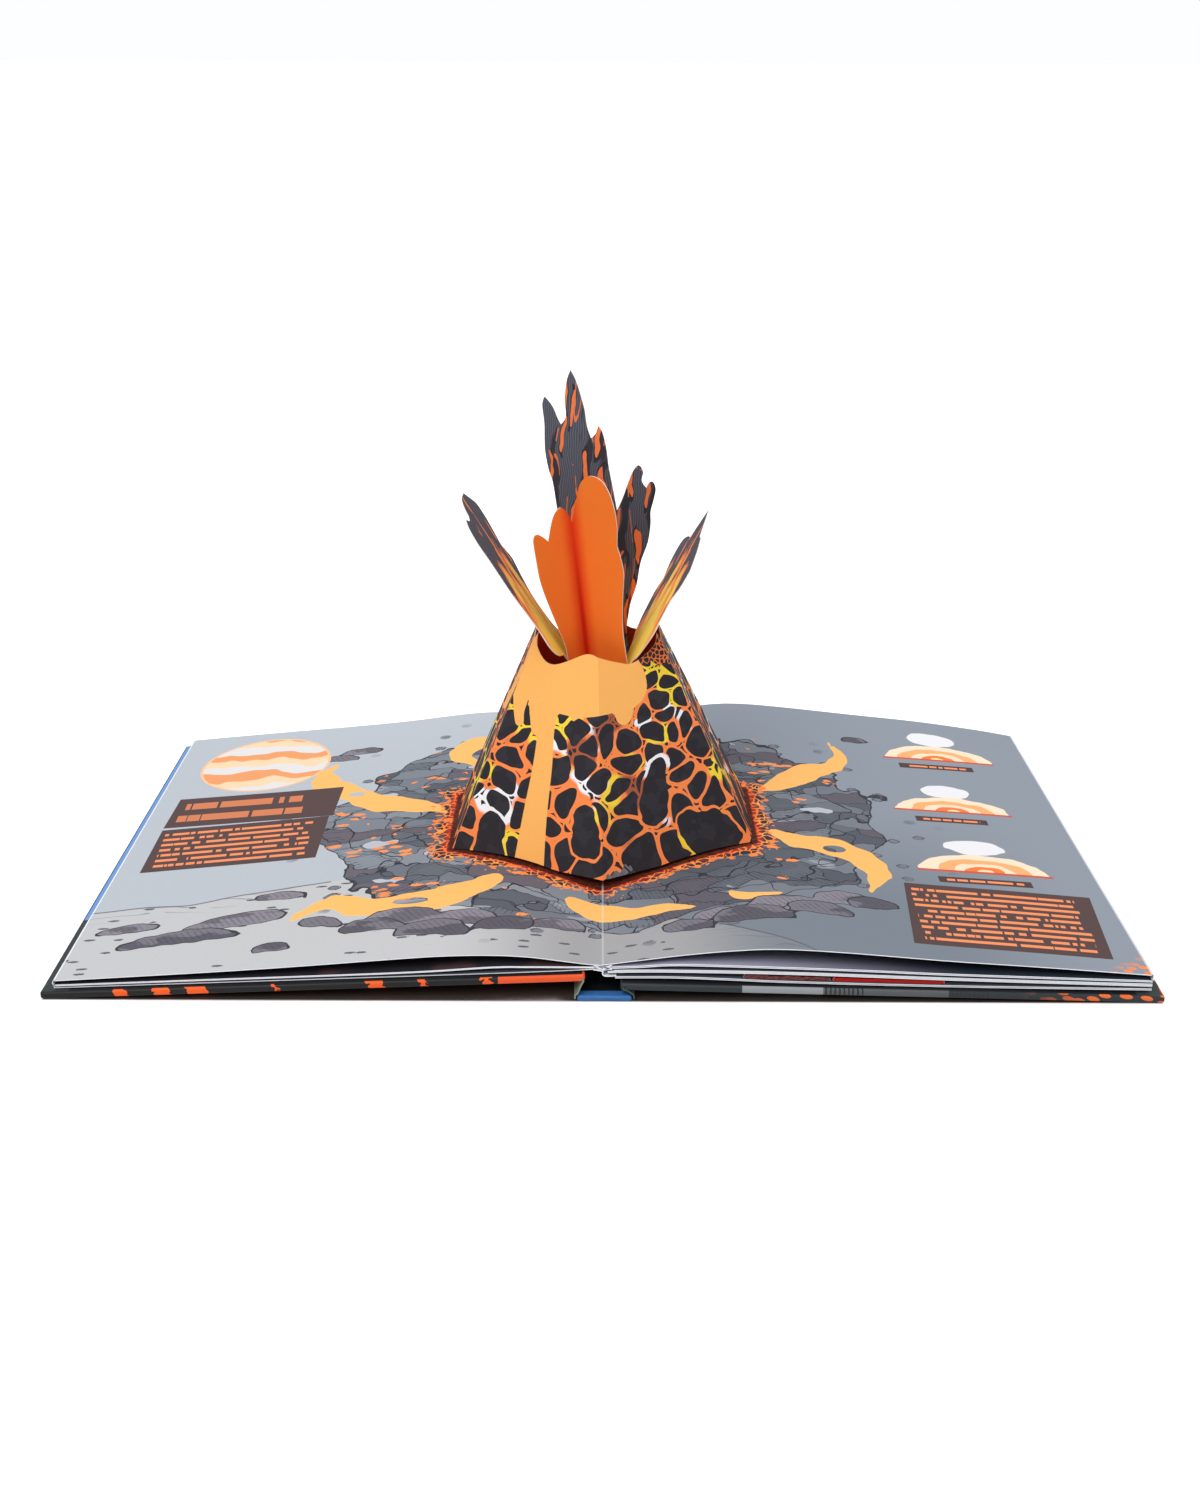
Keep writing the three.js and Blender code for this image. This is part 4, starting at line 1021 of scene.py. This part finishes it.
def cut_card(name, outline, place, materials, node, crease=()):
    """A card cut to an outline on the flat sheet: a fine triangle mesh, each point put in space by place(),
    with half the thickness on each side. A crease is a line of points that edges follow."""
    outline, crease = np.asarray(outline, float), np.reshape(crease, (-1, 2)).astype(float)
    low, high = outline.min(0), outline.max(0)
    across, up = (np.arange(low[k], high[k], CARD_STEP) for k in range(2))
    grid = np.stack(np.meshgrid(across, up), -1).reshape(-1, 2)
    drawn_lines = np.concatenate([outline, crease])
    near = np.min(np.linalg.norm(grid[:, None] - drawn_lines[None], axis=2), axis=1)
    grid = grid[near > CARD_STEP * 0.6]
    count = len(outline)
    joins = [(k, (k + 1) % count) for k in range(count)]
    joins += [(count + k, count + k + 1) for k in range(len(crease) - 1)]
    everything = np.concatenate([drawn_lines, grid])
    found = delaunay_2d_cdt([Vector(p) for p in everything], joins, [list(range(len(outline)))], 1, 1e-4)
    flat = np.array([tuple(v) for v in found[0]])
    triangles = np.array(found[2])
    spots = place(flat)
    corner = spots[triangles]
    area = np.cross(corner[:, 1] - corner[:, 0], corner[:, 2] - corner[:, 0])
    normal = np.zeros_like(spots)
    for k in range(3):
        np.add.at(normal, triangles[:, k], area)
    normal /= np.maximum(np.linalg.norm(normal, axis=1, keepdims=True), 1e-9)
    points = np.concatenate([spots + normal * CARD / 2, spots - normal * CARD / 2])
    sides = np.concatenate([triangles[:, [0, 1]], triangles[:, [1, 2]], triangles[:, [2, 0]]])
    pairs = set(map(tuple, sides.tolist()))
    rim = np.array([s for s in pairs if (s[1], s[0]) not in pairs])
    total = len(flat)
    walls = np.column_stack([rim[:, 1], rim[:, 0], rim[:, 0] + total, rim[:, 1] + total])
    faces = [*triangles.tolist(), *(triangles[:, ::-1] + total).tolist(), *walls.tolist()]
    kinds = np.repeat([0, 1, 2], [len(triangles), len(triangles), len(walls)])
    piece(name, points, faces, kinds, materials, "book_block", node,
          uv={"sheet": both_faces(flat)})


def leaning(low, high, height):
    """X at a height on a leaning line, whose two ends are given as x and height."""
    return low[0] + (high[0] - low[0]) * (height - low[1]) / (high[1] - low[1])


def plume_place(plume):
    """Puts a place (across the fold, height above the gutter) on the V: along the leaning fold line, then
    out along the wing, a little bowed."""
    foot_x, foot_y = plume["foot"]
    angle = math.radians(plume["angle"])

    def place(flat):
        s, h = flat[:, 0], flat[:, 1]
        across = np.abs(s)
        x = leaning((foot_x, 0), plume["top"], h) + s * math.cos(angle)
        bow = WING_BOW * np.clip(h / WING_BOW_FULL, 0, 1) * np.sin(across / WING_WAVE)
        y = foot_y + plume["towards"] * (across * math.sin(angle) - bow)
        return np.column_stack([x, y, GUTTER_HEIGHT + h])
    return place


def plume_outline(plume):
    """The card's outline on the flat sheet, across the fold and up."""
    left = lobes(plume["left"]) * (-1, 1)
    right = lobes(plume["right"])
    corner, fold = (STEM_FOOT + cut for cut in STEM_CUT)
    stem = [(STEM_WIDTH, STEM_WIDTH), (STEM_WIDTH, corner), (0, fold), (-STEM_WIDTH, corner),
            (-STEM_WIDTH, STEM_WIDTH)]
    return np.concatenate([right, stem, left[::-1][:-1]])


def orange_print():
    """Plain orange, with painted shade in the fold: deeper orange-red near the crease, where the two wings
    light each other, and a dark red core along the crease low down.
    """
    flat = on_sheet()
    plain = (noise(flat, 0.03, 2) * 0.5).mix(rgb(248, 126, 42), rgb(240, 112, 30))
    u, v, _ = flat.parts()
    # Painted shade and reflected light in the fold, then its darker core low down.
    colour = (abs(u).ramp(9, 0) * 0.85).mix(plain, rgb(222, 44, 0))
    return (abs(u).ramp(2.6, 0.3) * v.ramp(168, 110) * 0.7).mix(colour, rgb(190, 14, 0))


def smoke_print():
    """Slate card: fine upright hatching with some darker fields, and long orange strokes where stretched
    cells fall close to their seeds."""
    flat = on_sheet()
    u, v, _ = flat.parts()
    sway = noise(flat, 0.05, 2) * 12
    long = vector(u + sway, v * 0.15)
    hatch = abs(((u + sway * 0.6) % 1.25) - 0.62) < 0.17
    slate = (hatch * 0.6).mix(rgb(74, 75, 86), rgb(122, 123, 134))
    slate = noise(long, 0.13, 2).ramp(0.53, 0.57).mix(slate, rgb(50, 48, 56))
    stroke, chosen = picked_seeds(long, 0.19, 0)
    colour = outlined(slate, stroke, 0.34, 0.26, rgb(46, 42, 50), rgb(242, 124, 68), chosen > 0.4)
    line = abs(noise(vector(u, v * 0.22, 4), 0.09, 1) - 0.5) < 0.011
    return (line * (noise(flat, 0.06, 1) > 0.5)).mix(colour, rgb(236, 120, 66))


fire_card = surface("fire_card", orange_print, 0.75)
smoke_card = surface("smoke_card", smoke_print, 0.75)
fold_line = np.column_stack([np.zeros(FOLD_POINTS), np.linspace(FOLD_FOOT, FOLD_TOP, FOLD_POINTS)])
cut_card("front_plume", plume_outline(FRONT_PLUME), plume_place(FRONT_PLUME),
         [fire_card, fire_card, card_edge], "plume_front", fold_line)
cut_card("back_plume", plume_outline(BACK_PLUME), plume_place(BACK_PLUME),
         [smoke_card, smoke_card, card_edge], "plume_back", fold_line * (1, 1.03))


# The sprays: flat cards that lean out of the crater, slate at the tips and yellow at the root.

# Outlines front to back and up, and the line of the slope from its low to its high place (x and height)
SPRAYS = {
    "left": {
        "low": (-19, 98), "high": (-68, 178),
        "runs": [
            [[-18.6, 101.5], [-25, 105], [-28.8, 110], [-28.4, 118], [-31.6, 128.4], [-34.9, 137.3],
             [-35.7, 146], [-36.3, 155.2], [-37.7, 163], [-35.6, 169.4], [-30.6, 172.4], [-25, 170.5],
             [-20.4, 171.7]],
            [[-17.7, 175.3], [-13, 177.6], [-8.9, 178], [-0.6, 178]],
            [[6.5, 174], [13.4, 169.5], [14.2, 164], [13.5, 160], [8.8, 150]],
            [[12.6, 145], [14.1, 141], [10.4, 135.9], [6.6, 129], [5.5, 123], [8.5, 111.6],
             [13.3, 104.5]],
        ],
    },
    "right": {
        "low": (12.4, 95), "high": (50.6, 170),
        "runs": [
            [[-24, 103.5], [-28.6, 110], [-32.5, 118], [-30.1, 126.7], [-29.5, 134], [-34.7, 142],
             [-36, 150.2]],
            [[-28.2, 156.7], [-19.3, 161.1]],
            [[-14, 161], [-9, 164.5], [-0.2, 170.1]],
            [[2.9, 164.6], [8.3, 154.2]],
            [[15, 153], [22.9, 149.2], [26, 144], [25, 137], [19.5, 129.9]],
            [[22.6, 124], [23.3, 119.8], [21, 110], [17, 103.5]],
        ],
    },
}
ROOT_LOW, ROOT_HIGH = 80, 99   # heights of the glued root above the gutter
SOLID_CARD = 0.7               # thickness of the wings in the solid model


def spray_print():
    """Colour by height along the card and nearness to its edges, the borders broken into long streaks by
    stretched noise."""
    flat = on_sheet()
    u, v, _ = flat.parts()
    streak = noise(vector(u, v * 0.24), 0.17, 2)
    rise = (v - 94) / 88 + abs(u + 11).ramp(9, 24) * 0.3 + (streak - 0.5) * 1.9
    colour = rise.ramp(0.3, 0.36).mix(rgb(255, 226, 96), rgb(255, 188, 90))
    colour = rise.ramp(0.46, 0.5).mix(colour, rgb(252, 138, 72))
    colour = rise.ramp(0.64, 0.66).mix(colour, rgb(80, 78, 88))
    hatch = (abs((u % 2.8) - 1.4) < 0.25) * (rise > 0.68) * 0.6
    return hatch.mix(colour, rgb(52, 50, 58))


spray_card = surface("spray_card", spray_print, 0.75)


def spray_place(spray):
    """Puts a place (front to back, height above the gutter) on the card's slope."""
    def place(flat):
        y, h = flat[:, 0], flat[:, 1]
        return np.column_stack([leaning(spray["low"], spray["high"], h), y, GUTTER_HEIGHT + h])
    return place


def spray_root(spray, height, plume):
    """Where the wedge between two wings leaves room for a spray's root at a height."""
    foot_x, foot_y = plume["foot"]
    x = leaning(spray["low"], spray["high"], height)
    fold_x = leaning((foot_x, 0), plume["top"], height)
    angle = math.radians(plume["angle"])
    wing_y = foot_y + plume["towards"] * abs(fold_x - x) * math.tan(angle)
    return wing_y - plume["towards"] * (SEAT + SOLID_CARD) / math.cos(angle), height


for side, spray in SPRAYS.items():
    front_root = [spray_root(spray, height, FRONT_PLUME) for height in (ROOT_LOW, ROOT_HIGH)]
    back_root = [spray_root(spray, height, BACK_PLUME) for height in (ROOT_HIGH, ROOT_LOW)]
    cut_card(f"spray_card_{side}", [*front_root, *lobes(spray["runs"]), *back_root], spray_place(spray),
             [spray_card, spray_card, card_edge], f"spray_{side}")


# Covers: boards wrapped in printed paper. The outside is black with orange lava cracks at the front
# cover and dark green-grey at the back cover. Inside, the paper is turned in, blue further back, round a
# grey lining.

COVER_DEPTH = 294
EDGE_RADIUS = 1.1
CORNER_RADIUS = 1.6


def board_mesh(sign):
    """A board with rounded edges: rings of a rounded rectangle, inset at the top and the bottom by the
    edge's quarter circle, then tilted about the outer edge. Also tells inside from outside faces."""
    half_w, half_d = BOARD_WIDTH / 2, COVER_DEPTH / 2
    arc = np.linspace(0, math.pi / 2, 6)
    side, end = EDGE_RADIUS * (1 - np.sin(arc)), EDGE_RADIUS * (1 - np.cos(arc))
    profile = [*zip(side, end), *zip(end, BOARD_THICKNESS - side)]
    rings = []
    for inset, height in profile:
        ring = []
        for corner, (cx, cy) in enumerate(((1, 1), (-1, 1), (-1, -1), (1, -1))):
            for a in np.linspace(0, math.pi / 2, 5):
                turn_by = a + corner * math.pi / 2
                r = max(CORNER_RADIUS - inset, 0.05)
                ring.append((half_w + cx * (half_w - inset - r) + r * math.cos(turn_by),
                             cy * (half_d - inset - r) + r * math.sin(turn_by), height))
        rings.append(ring)
    local = np.array(rings)
    tilt = math.atan(BOARD_RISE[sign] / BOARD_WIDTH)
    a, h = local[..., 0] - EDGE_RADIUS, local[..., 2] - EDGE_RADIUS
    x = sign * (COVER_REACH - EDGE_RADIUS - (a * math.cos(tilt) - h * math.sin(tilt)))
    z = EDGE_RADIUS + a * math.sin(tilt) + h * math.cos(tilt)
    grid = np.stack([x, local[..., 1], z], -1)
    rows, count = grid.shape[:2]
    bottom, top = list(range(count)), [count * (rows - 1) + k for k in range(count)]
    faces = [f[::sign] for f in sheet_faces(rows, count, closed=True)] + [bottom[::-sign], top[::sign]]
    return grid.reshape(-1, 3), faces, [0] * (len(faces) - 1) + [1]


SPINE_CENTRE, SPINE_WIDTH, SPINE_THICKNESS, SPINE_RADIUS = 0.8, 24.2, 2.6, 1.0
BLUE_TURN_IN = 5
JOINT_CLOTH, JOINT_GAP, JOINT_HEIGHT = 0.7, 0.3, 0.95


def joint_line(sign):
    """The covering from the hinge line over the spine's edge up into the board's nose."""
    rise = BOARD_RISE[sign] + BOARD_THICKNESS / 2
    edge = SPINE_WIDTH / 2 + sign * SPINE_CENTRE
    nose = COVER_REACH - BOARD_WIDTH
    over = SPINE_THICKNESS + JOINT_GAP + JOINT_CLOTH
    hinge = edge + JOINT_GAP + JOINT_CLOTH / 2
    path = smooth([
        (hinge, JOINT_HEIGHT), (hinge, SPINE_THICKNESS - 0.2), (edge - SPINE_RADIUS / 2, over),
        ((edge + nose) / 2, (over + rise) / 2 - 0.4), (nose + EDGE_RADIUS / 2, rise - BOARD_THICKNESS / 2),
        (nose + BOARD_THICKNESS / 2, rise),
    ], 8)
    return path * (sign, 1)


# Orange patches on the front cover's front edge: centre and half width
FRONT_PATCHES = [(-215, 2.7), (-196, 4), (-180, 4.5), (-144.3, 0.9), (-98.5, 3.6), (-77, 1.6),
                 (-48.4, 1.9)]
ORANGE_FROM = -46.5
EDGE_FROM, UNDERSIDE_FROM = -140, -143
CRACKS_TO = (246, 144)
LINING_INSET = 9


def front_cover_print():
    """Black, with branching orange cracks on the outside, patches on the front edge where cracks come
    round it, and orange by the spine."""
    x, y, z = millimetres().parts()
    flat = vector(x, y)
    bent = flat + drift(flat, 0.03, 2, 40.0, 30)
    crack = cells(bent, 0.022) < noise(flat, 0.02, 2) * 0.05
    within = (abs(y) < CRACKS_TO[1]) * (abs(x) < CRACKS_TO[0])
    colour = (crack * within).mix(rgb(26, 24, 26), rgb(240, 104, 48))
    ragged = noise(vector(x, y, z), 0.45, 1) * 6 - 3
    for centre, half in FRONT_PATCHES:
        patch = abs(x - centre + (z - 4) * 0.5 + ragged) < half
        colour = (patch * (y < EDGE_FROM)).mix(colour, rgb(246, 96, 30))
    return ((x > ORANGE_FROM) * (y < UNDERSIDE_FROM) * (z > 3.0)).mix(colour, rgb(236, 88, 40))


def back_cover_print():
    """Dark green-grey with paler and hatched patches, and orange flecks towards the outer front corner."""
    x, y, z = millimetres().parts()
    flat = vector(x, y)
    colour = ((x > 62) * (x < 98)).mix(rgb(44, 50, 53), rgb(146, 150, 154))
    colour = ((x > 98) * (x < 154)).mix(colour, rgb(84, 90, 92))
    hatched = ((x > 98) * (x < 116)).most((x > 154) * (x < 172))
    strokes = ((x + noise(flat, 0.3, 1) * 2) % 2.0) < 0.8
    colour = (hatched * strokes).mix(colour, rgb(40, 44, 48))
    slanted = vector(x * 0.55 + z * 0.5, y * 0.8 + z)
    flecks = (cells(slanted, 0.3, "F1") < 0.42) * (x - y * 0.2).ramp(214, 250)
    return flecks.mix(colour, rgb(236, 110, 46))


def cover_inside():
    """The inside of a cover: its covering turned in over the board, blue further back, then a grey
    lining. Along the front edge the turned-in border is painted near black as shade."""
    x, y, _ = millimetres().parts()
    border = (y > -78).mix(rgb(46, 54, 53), rgb(104, 148, 208))
    # Painted shade: near black along the front edge of the turned-in border.
    border = ((y < -140) * (abs(x) < 238)).mix(border, rgb(24, 24, 27))
    lining_and_painted_shade = (abs(x) < COVER_REACH - LINING_INSET) * (abs(y) < COVER_DEPTH / 2 - LINING_INSET)
    return lining_and_painted_shade.mix(border, rgb(112, 118, 128))


EDGE_SHARP = 40
front_ink = surface("front_cover_print", front_cover_print, 0.45, grain=0.15, grain_size=0.4)
back_ink = surface("back_cover_print", back_cover_print, 0.45, grain=0.15, grain_size=0.4)
inside_ink = surface("cover_inside", cover_inside, 0.6)
joint_pale = surface("joint_covering", lambda: rgb(128, 140, 124), 0.5)
joint_dark = surface("joint_covering_dark", lambda: rgb(66, 78, 74), 0.5)
for sign, name, ink, cloth in ((-1, "front_cover", front_ink, joint_pale),
                               (1, "back_cover", back_ink, joint_dark)):
    points, faces, kinds = board_mesh(sign)
    piece(f"{name}_board", points, faces, kinds, [ink, inside_ink], name, name, sharp=EDGE_SHARP)
    line = joint_line(sign)[::sign] + (0, JOINT_CLOTH / 2)
    points, faces, kinds = sheet(carried(line, COVER_DEPTH, COARSE), JOINT_CLOTH)
    piece(f"{name}_joint", points, faces, kinds, [cloth] * 3, name, name)


# The spine: a flat board wrapped in blue paper.

def spine_line():
    """A rounded bar's section, closed."""
    r = SPINE_RADIUS
    centres = [(1, 1), (-1, 1), (-1, -1), (1, -1)]
    half_w, half_t = SPINE_WIDTH / 2 - r, SPINE_THICKNESS / 2 - r
    return np.array([
        (SPINE_CENTRE + cx * half_w + r * math.cos(a), SPINE_THICKNESS / 2 + cz * half_t + r * math.sin(a))
        for k, (cx, cz) in enumerate(centres) for a in np.linspace(k, k + 1, 7) * math.pi / 2
    ])


END_ROUND = 0.6
section = spine_line()
middle, count = section.mean(0), len(section)
half = COVER_DEPTH / 2
rings = []
for y, less in ((-half, END_ROUND), (END_ROUND - half, 0), (half - END_ROUND, 0), (half, END_ROUND)):
    ring = middle + (section - middle) * (1 - less / np.array([SPINE_WIDTH / 2, SPINE_THICKNESS / 2]))
    rings.append(np.column_stack([ring[:, 0], np.full(count, y), ring[:, 1]]))
grid = np.array(rings)
faces = [f[::-1] for f in sheet_faces(len(grid), count, closed=True)]
faces += [list(range(count)), [count * 3 + k for k in range(count)][::-1]]


def spine_paper():
    """Blue, turned in over the ends. Past the turn-in the upper face is near black: painted shade between
    the covers, standing in as a lining.
    """
    place = millimetres()
    _, y, z = place.parts()
    blue = noise(place, 0.4, 2).mix(rgb(44, 98, 160), rgb(62, 116, 176))
    # Painted shade: the spine's upper face past the blue turn-in is near black.
    lining_and_painted_shade = (abs(y) < COVER_DEPTH / 2 - BLUE_TURN_IN) * (z > SPINE_THICKNESS - 0.3)
    return lining_and_painted_shade.mix(blue, rgb(16, 17, 20))


blue = surface("spine_paper", spine_paper, 0.5)
piece("spine_board", grid.reshape(-1, 3), faces, [0] * len(faces), [blue], "book_block", "spine",
      sharp=EDGE_SHARP)

scene.view_settings.view_transform = "Standard"
sizes["shown"] = [list(corner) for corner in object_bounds()]
